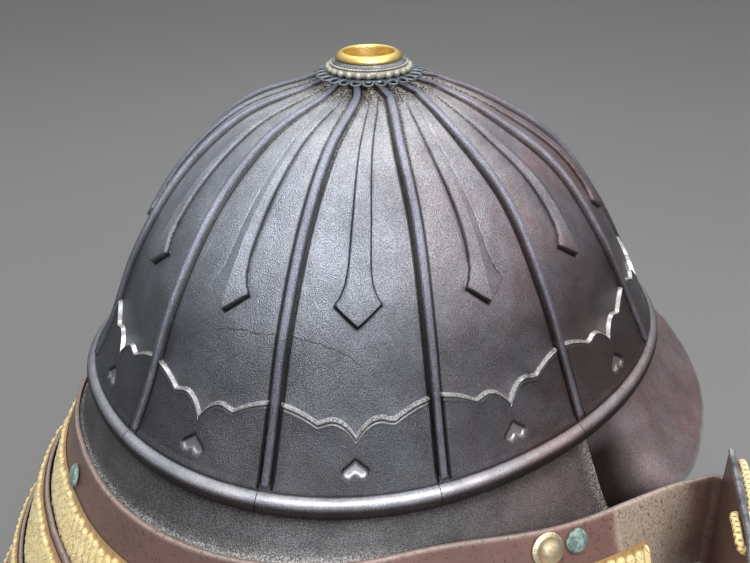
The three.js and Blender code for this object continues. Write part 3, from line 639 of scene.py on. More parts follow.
# turn in degrees, grow, height: the peak's edge from its front to its joint, after one row for the slope
VISOR = np.array([
    (-15, 27.6, -29.5),
    (0, 30, -26),
    (15, 27.6, -29.5),
    (30, 27.4, -34),
    (45, 27.4, -36),
    (59, 27, -36.4),
    (64, 18.5, -38.5),
    (68, 11.5, -41),
    (72, 6.5, -42),
    (76, 3.5, -42),
    (81, 2, -40),
])
VISOR_WALL = 1.8


def visor_surface():
    """The peak: each section runs from under the bead out and down to the edge's own distance and height.

    At a share s of the way out, it has gone out by s^1.25 and down by s^0.9.
    """
    degrees = np.linspace(-VISOR[-1, 0], VISOR[-1, 0], 220)[:, None]
    shares = np.array([1.0, 0.995, 0.98, 0.95, *np.linspace(0.9, 0, 22)])[None, :]
    side = np.abs(degrees)
    turn = np.radians(degrees)
    grow, low = (smooth_row(VISOR[:, 0], VISOR[:, n], side) for n in (1, 2))
    top = hang_top(turn)
    lean = np.clip(grow / 25, 0, 1)

    def at(inset):
        out = mix(-4.2, grow, shares**1.25)
        height = mix(top, low, shares**0.9)
        x, y = rim_plan(turn, out - inset * (1 - 0.4 * lean * shares))
        return np.stack([x, y, RIM_HEIGHT + height - inset * 0.7 * lean * shares], -1)

    rim = 0.9 * smoothstep(shares, 0.982, 1.0) * lean
    points, faces = slab(at(rim * 0.8), at(VISOR_WALL - rim * 0.4))
    near = np.repeat(shares, len(degrees), 0)
    wear = smoothstep(near, 0.955, 0.99), smoothstep(near, 0.98, 1.0)
    # painted shade under the bead, and a painted shadow at the sides beside the koshimaki's end
    grime = np.maximum(smoothstep(near, 0.25, 0.0), smoothstep(side, 56, 68) * smoothstep(near, 0.0, 0.4))
    return points, faces, faced(near.size, wear=wear, grime=(grime, 0.35))


# ---------------------------------------------------------------- neck guard

# the top lame's upper edge: how far outside the rim and behind it, and the degrees where it leaves the oval
TOP_EDGE = {"grow": 7.0, "slide": 3.2, "leave": 118}
# x and y of its run forward to the fold, at the wearer's left
SIDE_RUN = [(104.8, 25), (107.6, 1), (108.3, -24), (108.2, -44), (108.6, -60), (111, -76)]
FOLD_RADIUS = 2.4
FOLD_TURN = 120
LAME_WALL = 1.5
# how far forward the lacing and the lower lames reach
LACE_END = -44
# height, out, lean, deep
LAMES = np.array([
    (-17, 0, 0.37, 33),
    (-46.7, 16, 0.36, 32),
    (-75, 31, 0.3, 32),
    (-103, 44, 0.22, 32),
    (-131, 55, 0.14, 29),
])
# how far below its lame's top edge each lacing starts, how far it tucks behind the next, and its thickness
LACING_STARTS = (15.5, 3.2, 3.2, 3.2)
LACING_TUCK = 3
LACING_WALL = 2.4
# grid columns to a cord
CORD_COLUMNS = 8
# between a lame and its lacing
GAP = 0.3


def side_line():
    """The top lame's upper edge in plan, from the middle of the back round the wearer's left to the fold."""
    turn = np.radians(180 - (180 - TOP_EDGE["leave"]) * np.arange(7) / 6)
    x, y = rim_plan(turn, TOP_EDGE["grow"], TOP_EDGE["slide"])
    back = np.stack([x, y], -1)
    return catmull(np.concatenate([back, SIDE_RUN]), 2400)


SIDE_LINE = side_line()


def side_stations(count, front_y):
    """Evenly spaced points of the side line up to a distance forward, with outward normals and tangents."""
    line = SIDE_LINE[: int(np.argmax(SIDE_LINE[:, 1] < front_y - 1e-6)) or len(SIDE_LINE)]
    along = unit(np.gradient(SIDE_LINE, axis=0))[: len(line)]
    at = np.linspace(0, len(line) - 1, count)

    def pick(values):
        return np.stack([np.interp(at, np.arange(len(line)), values[:, n]) for n in (0, 1)], -1)

    place, along = pick(line), unit(pick(along))
    return place, np.stack([-along[:, 1], along[:, 0]], -1), along


def drop_at(y):
    """How much lower the neck guard hangs at a distance forward than behind."""
    return FRONT_DROP * smoothstep(-y, -50, 28)


def both_sides(left, mirror=(-1, 1, 1)):
    """The wearer's left half of a band and its mirror image, as one grid from right to left."""
    return np.concatenate([left[1:][::-1] * np.asarray(mirror), left])


def lame_point(place, out, lame, depth, proud):
    """A point of a lame, so far below its top edge and so far outside its outer face."""
    height, away, lean, _ = lame
    side = away + lean * depth + proud
    plan = place[:, None, :] + out[:, None, :] * side[..., None]
    z = RIM_HEIGHT + height - drop_at(place[:, 1])[:, None] - depth + 0 * side
    return np.concatenate([plan, z[..., None]], -1)


def lame_surface(lame):
    """A lower lame: its section is a straight leaning strip with rounded edges."""
    place, out, _ = side_stations(150, LACE_END)
    deep = lame[3]
    foot, head = [deep, deep - 0.25, deep - 0.8, deep - 4], [3, 1.4, 0.7, 0.25, 0]
    depth = np.array([*foot, *np.linspace(deep - 8, 6, 4), *head])
    depth = np.repeat(depth[None, :], len(place), 0)
    edge = np.minimum(depth, deep - depth)
    outer = both_sides(lame_point(place, out, lame, depth, -0.45 * (1 - smoothstep(edge, 0, 0.9))))
    inner = both_sides(lame_point(place, out, lame, depth, -LAME_WALL))
    wear = both_sides(1 - smoothstep(edge, 0.2, 1.1), 1)
    return *slab(outer, inner), faced(wear.size, wear=(wear, 0.0), grime=(0 * wear, 0.4))


def top_lame_stations():
    """Stations along the top lame's left half: the laced stretch, the run forward, the fold and the plate.

    Each has a place, an outward normal and a tangent in plan, the distance past the fold, how far it has
    folded, and whether it is on the fold or past it.
    """
    laced = side_stations(110, LACE_END)
    place, out, along = side_stations(1200, SIDE_RUN[-1][1])
    keep = np.flatnonzero(place[:, 1] < LACE_END - 0.5)[::8]
    run = place[keep], out[keep], along[keep]
    turn = math.atan2(along[-1][1], along[-1][0]) + np.radians(np.linspace(0, FOLD_TURN, 22))
    heading = np.stack([np.cos(turn), np.sin(turn)], -1)
    outs = np.stack([-heading[:, 1], heading[:, 0]], -1)
    fold = place[-1] + out[-1] * FOLD_RADIUS - outs * FOLD_RADIUS, outs, heading
    past = spaced((0.0, 38, 3.0), (38, 52, 1.0), (52, 55.2, 0.4), (55.2, TURNBACK["length"], 0.1))[1:]
    plate = (
        fold[0][-1] + heading[-1] * past[:, None],
        np.repeat(outs[-1:], len(past), 0),
        np.repeat(heading[-1:], len(past), 0),
    )
    place, out, along = (np.concatenate(parts) for parts in zip(laced, run, fold, plate))
    before, folding = np.zeros(len(laced[0]) + len(keep)), np.linspace(0, 1, len(turn))
    return {
        "place": place,
        "out": out,
        "along": along,
        "past": np.concatenate([before, 0 * folding, past]),
        "folded": np.concatenate([before, folding, np.ones(len(past))]),
        "on_fold": np.concatenate([before, np.ones(len(turn) + len(past))]),
    }


# heights of the plate's top and bottom and of the lame before it, the corners' radius and the length
TURNBACK = {"top": -13, "bottom": -73, "lame_bottom": -68, "corner": 15, "length": 56}


def turnback_edges(st):
    """The upper and lower edge of the top lame, whose front widens into a plate with round corners."""
    y = st["place"][:, 1]
    top = LAMES[0, 0] - drop_at(y)
    straight = top - LAMES[0, 3]
    widen = np.where(st["on_fold"] > 0, 1, smoothstep(-y, 42, 72))
    corner = TURNBACK["corner"]
    over = np.maximum(0, st["past"] - (TURNBACK["length"] - corner))
    cut = np.where(st["past"] > 0, corner - np.sqrt(np.maximum(0, corner**2 - over**2)) * 0.97, 0)
    lift = smoothstep(st["folded"], 0.75, 1)
    high = mix(top, TURNBACK["top"], lift) - cut
    low = mix(mix(straight, TURNBACK["lame_bottom"], widen), TURNBACK["bottom"], lift) + cut
    return high, low


def top_lame_surface():
    """The top lame and its turn-backs: a leaning strip that stands upright, folds over and widens."""
    st = top_lame_stations()
    high, low = turnback_edges(st)
    shares = np.array([0, 0.01, 0.03, 0.08, *np.linspace(0.15, 0.85, 8), 0.92, 0.965, 0.985, 1])
    forward = -st["place"][:, 1]
    lean = LAMES[0, 2] * np.where(st["on_fold"] > 0, 0, 1 - smoothstep(forward, 44, 72))

    def at(proud):
        height = mix(low[:, None], high[:, None], shares[None, :])
        side = lean[:, None] * (high[:, None] - height) + proud
        plan = st["place"][:, None, :] + st["out"][:, None, :] * side[..., None]
        return both_sides(np.concatenate([plan, RIM_HEIGHT + height[..., None]], -1))

    edge = np.minimum(shares, 1 - shares)[None, :] * (high - low)[:, None]
    points, faces = slab(at(-0.4 * (1 - smoothstep(edge, 0, 0.8))), at(-LAME_WALL))
    front = smoothstep(forward, 29, 35) * (1 - 0.85 * smoothstep(forward, 60, 76)) * (st["on_fold"] < 1)
    crease = 0.7 * line_of(forward, 32.5, 1.2)[:, None]
    wear = both_sides(np.maximum(1 - smoothstep(edge, 0.1, 0.75), crease), 1)
    dusty = both_sides(np.repeat(front[:, None], len(shares), 1), 1)
    pairs = {"wear": (wear, wear * 0.3), "dusty": (dusty, dusty * 0.4), "grime": (0 * wear, 0.3)}
    return points, faces, faced(wear.size, **pairs)


def turnback_point(past, below, proud):
    """A point of the wearer's left turn-back: past the fold, below its top edge, proud of its face."""
    st = top_lame_stations()
    end = int(np.argmax(st["folded"] >= 1))
    plan = st["place"][end] + st["along"][end] * past[..., None] + st["out"][end] * proud[..., None]
    return np.concatenate([plan, (RIM_HEIGHT + TURNBACK["top"] - below)[..., None]], -1)


def turnback_rim_surface():
    """The plate's rim: a strip with two fine beads, carried round the plate's outline."""
    st = top_lame_stations()
    high, low = turnback_edges(st)
    keep = st["folded"] >= 1
    top, bottom = (np.stack([st["past"][keep], edge[keep]], -1) for edge in (high, low))
    outline = catmull(np.concatenate([top, bottom[::-1]]), 190)
    along = unit(np.gradient(outline, axis=0))
    out = np.stack([-along[:, 1], along[:, 0]], -1)
    # half of its section, as (outwards, proud), from its inner edge to its outer one
    half = np.array([
        (0.4, 1.0), (0.75, 1.15), (1.0, 1.1), (1.15, 0.8), (1.35, 1.1), (1.65, 1.05), (1.95, 0.6),
    ])
    ring = np.concatenate([half[:1] * [1, -1], half, [(2.0, 0.0)], half[:0:-1] * [1, -1]])
    q = outline[:, None, :] + out[:, None, :] * ring[None, :, :1]
    proud = np.broadcast_to(-LAME_WALL / 2 + ring[None, :, 1], q.shape[:2])
    return tube_faces(turnback_point(q[..., 0], TURNBACK["top"] - q[..., 1], proud))


def tube_faces(rings, closed=False):
    """Points and faces of rings of points carried along a path, with flat ends unless it closes."""
    rows, cols = rings.shape[:2]
    points = rings.reshape(-1, 3)
    side = quads(rows, cols, close_rows=closed, close_cols=True)
    if closed:
        return points, [side]
    ends = np.stack([rings[0].mean(0), rings[-1].mean(0)])
    n = rows * cols
    j = np.arange(cols)
    first = np.stack([(j + 1) % cols, j, np.full(cols, n)], -1)
    last_row = (rows - 1) * cols
    last = np.stack([last_row + j, last_row + (j + 1) % cols, np.full(cols, n + 1)], -1)
    return np.concatenate([points, ends]), [side, np.concatenate([first, last])]


# past, below, proud: the cord lies on both sides of the turn-back and passes through its two holes
CORD_ROUTE = [
    (3.5, 9, -3.6), (2.6, 5, -3.6), (3.2, 1.8, -4), (6, 0.4, -4.1), (14, 0.2, -4.1), (22, 0.3, -4.1),
    (26.5, 1.6, -4.1), (29, 4.4, -2.4), (29, 4.4, 0.8), (31.5, 3.2, 1.8), (36, 2.8, 1.8), (41.5, 3, 1.8),
    (45, 4.6, 0.8), (45, 4.6, -2.4), (45.6, 7.5, -3.6), (46, 11, -3.6),
]
CORD_RADIUS, CORD_TURNS = 1.5, 26


def turnback_cord_surface():
    """A round braid along the cord's route: two sets of strands wind round it, proudest where they cross."""
    path = catmull(turnback_point(*np.array(CORD_ROUTE, float).T), 260)
    side, up = frames_along(path)
    angle = around(14)
    length = np.linspace(0, 1, len(path))[:, None] * CORD_TURNS
    ridges = np.maximum(np.cos(2 * angle - 2 * math.pi * length), np.cos(2 * angle + 2 * math.pi * length))
    from_end = np.minimum(np.arange(len(path)) + 2, len(path) - np.arange(len(path)) + 1)
    radius = CORD_RADIUS * (0.88 + 0.12 * ridges) * np.sqrt(np.minimum(1, from_end / 8)[:, None])
    rings = (
        path[:, None, :]
        + side[:, None, :] * (radius * np.cos(angle))[..., None]
        + up[:, None, :] * (radius * np.sin(angle))[..., None]
    )
    # painted shade where the strands dive
    deep, strand = (1 - ridges) * 0.6, length * 3 + angle * 0.5
    return *tube_faces(rings), faced(2, deep=(deep, 0.5), strand=(strand, 0.0), lane=(0 * strand, 0.0))


def scattered(angle, size):
    """A number from 0 to 1 that looks random but is always the same: the fraction of size sin(angle)."""
    value = np.sin(angle) * size
    return value - np.floor(value)


def lacing_surface(index, sizes):
    """A band of braided cords side by side, as one relief.

    Across a cord, a from 0 at its middle to 1, the height is the flattened half circle (1 - 0.97 a^2.2)^0.6.
    Down it, ridges run in from both edges and meet at the middle, as the strands of a flat braid do. Every
    cord's phase, height and top end differ a little.
    """
    lame, below = LAMES[index], LAMES[index + 1]
    start = LACING_STARTS[index]
    end = lame[0] - below[0] + LACING_TUCK
    share = np.interp(LACE_END, SIDE_LINE[::-1, 1], np.arange(len(SIDE_LINE))[::-1]) / len(SIDE_LINE)
    # half the band's length: the side line's, and more for its middle, which runs further out
    span = np.linalg.norm(np.diff(SIDE_LINE, axis=0), axis=1).sum() * share + (lame[1] + 10) * 1.3
    cords = round(2 * span / sizes.cord_pitch)
    count = cords * CORD_COLUMNS // 2 + 1
    place, out, _ = side_stations(count, LACE_END)
    depth = spaced((start - 1.0, start + 2.6, 0.5), (start + 2.6, end, 0.95))[None, :]
    step = both_sides(np.arange(count), -1)[:, None] / CORD_COLUMNS
    cord = np.floor(step + 0.5)
    a = np.abs(((step - cord) * 2).clip(-1, 1))
    wander = scattered(cord * 12.9898 + index * 4.1, 43758.5453)
    other = scattered(cord * 78.233 + index * 2.7, 24634.6345)
    crown = np.clip(1 - a**2.2 * 0.97, 0, 1) ** 0.6
    phase = depth / sizes.strand_pitch + 0.85 * a + wander + 0.25 * np.sin(depth * 0.7 + wander * 9)
    ridge = np.abs(np.cos(np.pi * phase))
    tip = smoothstep(depth - (start - 1.0 + 1.5 * other + 1.2 * (1 - crown)), 0, 0.9)
    proud = GAP + 0.1 + (1.5 * crown + 0.6 * ridge * (0.4 + 0.6 * crown) + 0.2 * other) * tip
    place, out = both_sides(place, (-1, 1)), both_sides(out, (-1, 1))
    outer = lame_point(place, out, lame, depth, np.minimum(proud, GAP + LACING_WALL))
    few = np.linspace(depth[0, 0], depth[0, -1], 3)[None, :]
    inner = lame_point(place, out, lame, few, GAP)
    # painted shade where strands dive, toward the cords' edges and under the lame above
    deep = 1 - (0.55 + 0.45 * ridge) * (0.15 + 0.85 * crown) * tip
    lane = np.repeat(step, depth.shape[1], 1)
    pairs = {"deep": (deep, 1.0), "strand": (phase * sizes.strand_pitch, 0.0), "lane": (lane, 0.0)}
    return *shell(outer, inner), faced(len(place) * few.size, **pairs)


# ---------------------------------------------------------------- rivets


def station(y=None):
    """Place, outward normal and tangent of the side line where it reaches y, or at the middle of the back."""
    place, out, along = side_stations(3, LACE_END if y is None else y)
    n = 0 if y is None else -1
    return place[n], out[n], along[n]


def seat(points, where, depth):
    """Stands a turned piece, made upright at the origin, on the top lame's outer face."""
    place, out, along = where
    foot, lower = lame_point(place[None], out[None], LAMES[0], np.array([[depth, depth + 1]]), 0.0)[0]
    down = unit(lower - foot)
    normal = unit(np.cross([*along, 0.0], down))
    normal = normal * np.sign(normal[:2] @ out)
    side = np.cross(normal, down)
    return foot + normal * 0.55 + points[:, :1] * down + points[:, 1:2] * side + points[:, 2:] * normal


def gilt_rivet():
    """A domed head on a washer whose edge is milled: its radius swells in fine teeth."""
    # radius, height, tooth
    rows = np.array([
        (0.0, 0.0, 0), (5.3, 0.0, 0.6), (5.9, 0.25, 1), (6.0, 0.7, 1), (5.5, 1.05, 0.8), (4.75, 1.2, 0.3),
        (4.6, 1.35, 0), (4.55, 2.1, 0), (4.3, 2.9, 0), (3.8, 3.7, 0), (3.0, 4.35, 0), (2.0, 4.75, 0),
        (1.0, 4.95, 0), (0.0, 5.0, 0),
    ])
    return pole_solid(rows, 144, lambda angle, i: 0.16 * np.cos(48 * angle) * rows[i, 2])


def copper_rivet():
    """A low, hammered oval head: a flattened dome with a slow unevenness."""
    # radius, height
    rows = np.array([
        (0.0, 0.0), (4.0, 0.0), (4.3, 0.3), (4.3, 0.7), (4.0, 1.2), (3.4, 1.6), (2.6, 1.9), (1.4, 2.05),
        (0.0, 2.1),
    ])
    return pole_solid(rows, 48, lambda angle, i: 0.12 * np.cos(3 * angle + i) * (i > 1))


def pole_solid(rows, sides, swell):
    """A profile that starts and ends on the axis, swept round +Z, with one point at each pole."""
    angle = around(sides)[:, None]
    r = rows[1:-1, 0][None, :] + swell(angle, np.arange(1, len(rows) - 1)[None, :])
    z = np.repeat(rows[1:-1, 1][None, :], sides, 0)
    rings = np.stack([r * np.cos(angle), r * np.sin(angle), z], -1).transpose(1, 0, 2)
    points, faces = tube_faces(rings)
    points[-2:, 2] = rows[0, 1], rows[-1, 1]
    points[-2:, :2] = 0
    return points, faces


# ---------------------------------------------------------------- crown fitting

CROWN_BACK = 5.4
PETALS = 26
# the bore that every ring of the crown fitting shares
BORE = 10.0


def collar_surface():
    """The gilt collar: a neck under a thick, barrel-shaped lip that rounds over into an open bore."""
    # radius, height
    return turned_solid([
        (8.75, 104.0), (9.65, 104.0), (9.65, 113.7), (9.9, 114.05), (11.2, 114.1), (11.85, 114.2),
        (12.1, 114.5), (12.1, 114.85), (11.85, 115.35), (11.4, 115.85), (10.8, 116.25), (10.1, 116.5),
        (9.6, 116.55), (9.2, 116.45), (8.9, 116.1), (8.75, 115.5),
    ], 128)


def stepped_ring_surface():
    """A ring cut with three fine steps."""
    return turned_solid([
        (BORE, 113.1), (13.35, 113.1), (13.4, 113.3), (13.2, 113.45), (13.05, 113.45), (12.95, 113.65),
        (12.75, 113.7), (12.6, 113.7), (12.5, 113.9), (12.35, 114.0), (BORE, 114.0),
    ], 128)


def milled_ring_surface():
    """A ring worked as a twisted wire: slanting ridges round a half-round edge."""
    bend = np.radians(np.linspace(-90, 90, 9))
    edge = np.stack([13.55 + 0.55 * np.cos(bend), 112.68 + 0.33 * np.sin(bend)], -1)
    profile = np.concatenate([[(BORE, 112.35)], edge, [(BORE, 113.0)]])

    def swell(angle, i):
        return 0.16 * np.cos(78 * angle + 0.5 * i) * ((i > 0) & (i < len(profile) - 1))

    return turned_solid(profile, 468, swell)


def pearl_ring_surface():
    """A band with a row of round beads: each a squashed sphere of latitude and longitude."""
    band = turned_solid([
        (BORE, 109.9), (13.9, 109.9), (14.2, 110.2), (14.3, 111.0),
        (14.2, 111.8), (13.9, 112.1), (BORE, 112.1),
    ], 104)
    lat = np.radians(np.linspace(-90, 90, 9))[1:-1]
    lon = around(12)
    ball = np.stack([
        np.cos(lat)[:, None] * np.cos(lon),
        np.cos(lat)[:, None] * np.sin(lon),
        np.sin(lat)[:, None] + 0 * lon,
    ], -1)
    points, faces = tube_faces(ball)
    points[-2:] = [(0, 0, -1), (0, 0, 1)]
    return with_copies(*band, points * [1.35, 1.35, 1.2], faces, 14.55, 111.0)


def with_copies(points, faces, small, small_faces, radius, height):
    """A ring with one copy of a small form for each petal, set round a circle and turned to face outwards."""
    angle = around(PETALS)
    c, s = np.cos(angle)[:, None], np.sin(angle)[:, None]
    x = (small[:, 0] + radius) * c - small[:, 1] * s
    y = (small[:, 0] + radius) * s + small[:, 1] * c
    z = small[:, 2] + height + 0 * x
    copies = np.stack([x, y, z], -1).reshape(-1, 3)
    shift = len(points) + np.arange(PETALS)[:, None, None] * len(small)
    more = [(f[None] + shift).reshape(-1, f.shape[1]) for f in small_faces]
    return np.concatenate([points, copies]), [*faces, *more]


def petal_ring_surface():
    """Overlapping scallops: each a fine rounded rim carried round a petal's outline that sinks outwards."""
    angle = np.linspace(0, 2 * math.pi, 29)[:-1]
    far = 2.75 + 2.55 * np.cos(angle)
    wide = 2.05 * np.sin(angle) * (0.8 + 0.2 * np.cos(angle))
    rise = 0.25 - 0.08 * far - 0.01 * far**2
    path = np.stack([far, wide, rise], -1)
    along = unit(np.roll(path, -1, 0) - np.roll(path, 1, 0))
    leaning = np.array([0.35, 0, 1.0])
    up = unit(leaning - along * (along @ leaning)[:, None])
    side = np.cross(along, up)
    turn = around(7)
    rings = path[:, None] + side[:, None] * (0.42 * np.cos(turn))[None, :, None]
    rings = rings + up[:, None] * (0.4 * np.sin(turn))[None, :, None]
    base = turned_solid([
        (BORE, 108.3), (15.2, 108.3), (15.8, 108.6), (15.9, 109.0), (15.6, 109.5), (BORE, 109.5),
    ], 104)
    return with_copies(*base, *tube_faces(rings, closed=True), 14.3, 109.25)


# ---------------------------------------------------------------- node groups shared by the finishes


class Nodes:
    """Adds nodes to a tree: an input that is a socket is linked, and any other value is set on it."""

    def __init__(self, tree):
        self.tree = tree

    def fill(self, node, inputs):
        for key, value in inputs.items():
            if isinstance(value, bpy.types.NodeSocket):
                self.tree.links.new(value, node.inputs[key])
            else:
                node.inputs[key].default_value = value
        return node

    def add(self, kind, inputs, **settings):
        node = self.tree.nodes.new("ShaderNode" + kind)
        for key, value in settings.items():
            setattr(node, key, value)
        return self.fill(node, inputs)

    def use(self, group, inputs):
        return self.fill(self.add("Group", {}, node_tree=group), inputs).outputs

    def math(self, operation, a, b=0.0, clamp=False):
        return self.add("Math", {0: a, 1: b}, operation=operation, use_clamp=clamp).outputs[0]

    def plus(self, a, b):
        return self.math("ADD", a, b)

    def minus(self, a, b, clamp=False):
        return self.math("SUBTRACT", a, b, clamp)

    def times(self, a, b, clamp=False):
        return self.math("MULTIPLY", a, b, clamp)

    def most(self, a, b):
        return self.math("MAXIMUM", a, b)

    def span(self, value, low, high, **settings):
        inputs = {"Value": value, "From Min": low, "From Max": high}
        return self.add("MapRange", inputs, **settings)

    def ramp(self, value, low, high, to_low=0.0, to_high=1.0):
        node = self.span(value, low, high, interpolation_type="SMOOTHSTEP")
        return self.fill(node, {"To Min": to_low, "To Max": to_high}).outputs["Result"]

    def mix(self, share, a, b, blend="MIX"):
        return self.add("Mix", {0: share, 6: a, 7: b}, data_type="RGBA", blend_type=blend).outputs[2]

    def noise(self, vector, scale, detail=3.0, roughness=0.55):
        inputs = {"Vector": vector, "Scale": scale, "Detail": detail, "Roughness": roughness}
        return self.add("TexNoise", inputs).outputs["Fac"]

    def attributes(self, *names):
        """The named vertex attributes of the mesh."""
        kind = {"attribute_type": "GEOMETRY"}
        return [self.add("Attribute", {}, attribute_name=name, **kind).outputs["Fac"] for name in names]

    def bump(self, height, strength, distance):
        inputs = {"Strength": strength, "Distance": distance, "Height": height}
        return self.add("Bump", inputs).outputs["Normal"]


def new_group(name, inputs, outputs):
    """An empty shader node group with named inputs, each a kind and a default, and named outputs."""
    tree = bpy.data.node_groups.new(name, "ShaderNodeTree")
    for label, (kind, default) in inputs.items():
        socket = tree.interface.new_socket(name=label, in_out="INPUT", socket_type="NodeSocket" + kind)
        if default is not None:
            socket.default_value = default
    for label, kind in outputs.items():
        tree.interface.new_socket(name=label, in_out="OUTPUT", socket_type="NodeSocket" + kind)
    entry = tree.nodes.new("NodeGroupInput")
    leave = tree.nodes.new("NodeGroupOutput")
    return Nodes(tree), entry.outputs, leave


PLACE = ("Vector", None)


def mottle_group():
    """Two sizes of noise laid over each other and stretched in contrast: slow patches with fine blots."""
    inputs = {"Vector": PLACE, "Scale": ("Float", 20.0), "Low": ("Float", 0.4), "High": ("Float", 0.6)}
    nodes, given, made = new_group("Mottle", inputs, {"Mask": "Float"})
    wide = nodes.noise(given["Vector"], given["Scale"], 5.0, 0.6)
    fine = nodes.noise(given["Vector"], nodes.times(given["Scale"], 6.5), 4.0, 0.65)
    both = nodes.plus(nodes.times(wide, 0.68), nodes.times(fine, 0.32))
    nodes.fill(made, {"Mask": nodes.span(both, given["Low"], given["High"]).outputs["Result"]})
    return nodes.tree


def grain_group():
    """The skin of old iron: fine pebbling with a slower unevenness under it, as a bumped normal."""
    inputs = {"Vector": PLACE, "Scale": ("Float", 900.0), "Strength": ("Float", 0.3), "Slow": ("Float", 0.3)}
    nodes, given, made = new_group("Grain", inputs, {"Normal": "Vector"})
    fine = nodes.noise(given["Vector"], given["Scale"], 2.5, 0.6)
    slow = nodes.noise(given["Vector"], nodes.times(given["Scale"], 0.07), 3.0, 0.5)
    height = nodes.plus(fine, nodes.times(slow, given["Slow"]))
    nodes.fill(made, {"Normal": nodes.bump(height, given["Strength"], 0.0009)})
    return nodes.tree


def patina_group():
    """Colour of a worn surface: a base with patches, bared along worn edges and painted highlights, and
    darkened by dirt and painted shade.
    """
    inputs = {
        "Base": ("Color", (0.1, 0.1, 0.1, 1)), "Patch": ("Color", (0.2, 0.1, 0.1, 1)),
        "Bare and highlight": ("Color", (0.5, 0.5, 0.5, 1)), "Dirt and shade": ("Color", (0.01, 0.01, 0.01, 1)),
        "Patches": ("Float", 0.0), "Wear and highlight": ("Float", 0.0), "Grime and shade": ("Float", 0.0), "Vector": PLACE,
    }
    nodes, given, made = new_group("Patina", inputs, {"Color": "Color", "Rough": "Float"})
    broken = nodes.noise(given["Vector"], 420.0, 3.0, 0.7)
    worn = nodes.times(given["Wear and highlight"], nodes.ramp(broken, 0.3, 0.62, 0.6, 1.0), clamp=True)
    colour = nodes.mix(given["Patches"], given["Base"], given["Patch"])
    colour = nodes.mix(worn, colour, given["Bare and highlight"])
    colour = nodes.mix(given["Grime and shade"], colour, given["Dirt and shade"])
    nodes.fill(made, {"Color": colour, "Rough": nodes.minus(given["Grime and shade"], nodes.times(worn, 0.6))})
    return nodes.tree


def opaque(colour):
    """A colour with its alpha."""
    return (*colour, 1.0)


def new_material(name):
    """A material, its nodes, its Principled shader and the place on the object in metres."""
    material = bpy.data.materials.new(name)
    material.use_nodes = True
    nodes = Nodes(material.node_tree)
    shader = material.node_tree.nodes["Principled BSDF"]
    place = nodes.add("TexCoord", {}).outputs["Object"]
    return material, nodes, shader, place


def mottled(nodes, groups, place, scale, low, high):
    """The mask of slow patches."""
    return nodes.use(groups["mottle"], {"Vector": place, "Scale": scale, "Low": low, "High": high})["Mask"]


def grained(nodes, groups, place, scale, strength, slow):
    """The pebbled normal."""
    inputs = {"Vector": place, "Scale": scale, "Strength": strength, "Slow": slow}
    return nodes.use(groups["grain"], inputs)["Normal"]


IRON_METALLIC = 0.85
# the colour of dirt and of painted shade on iron
IRON_DIRT_AND_SHADE = (0.022, 0.014, 0.013, 1)
LACQUER_DIRT = (0.03, 0.022, 0.02, 1)


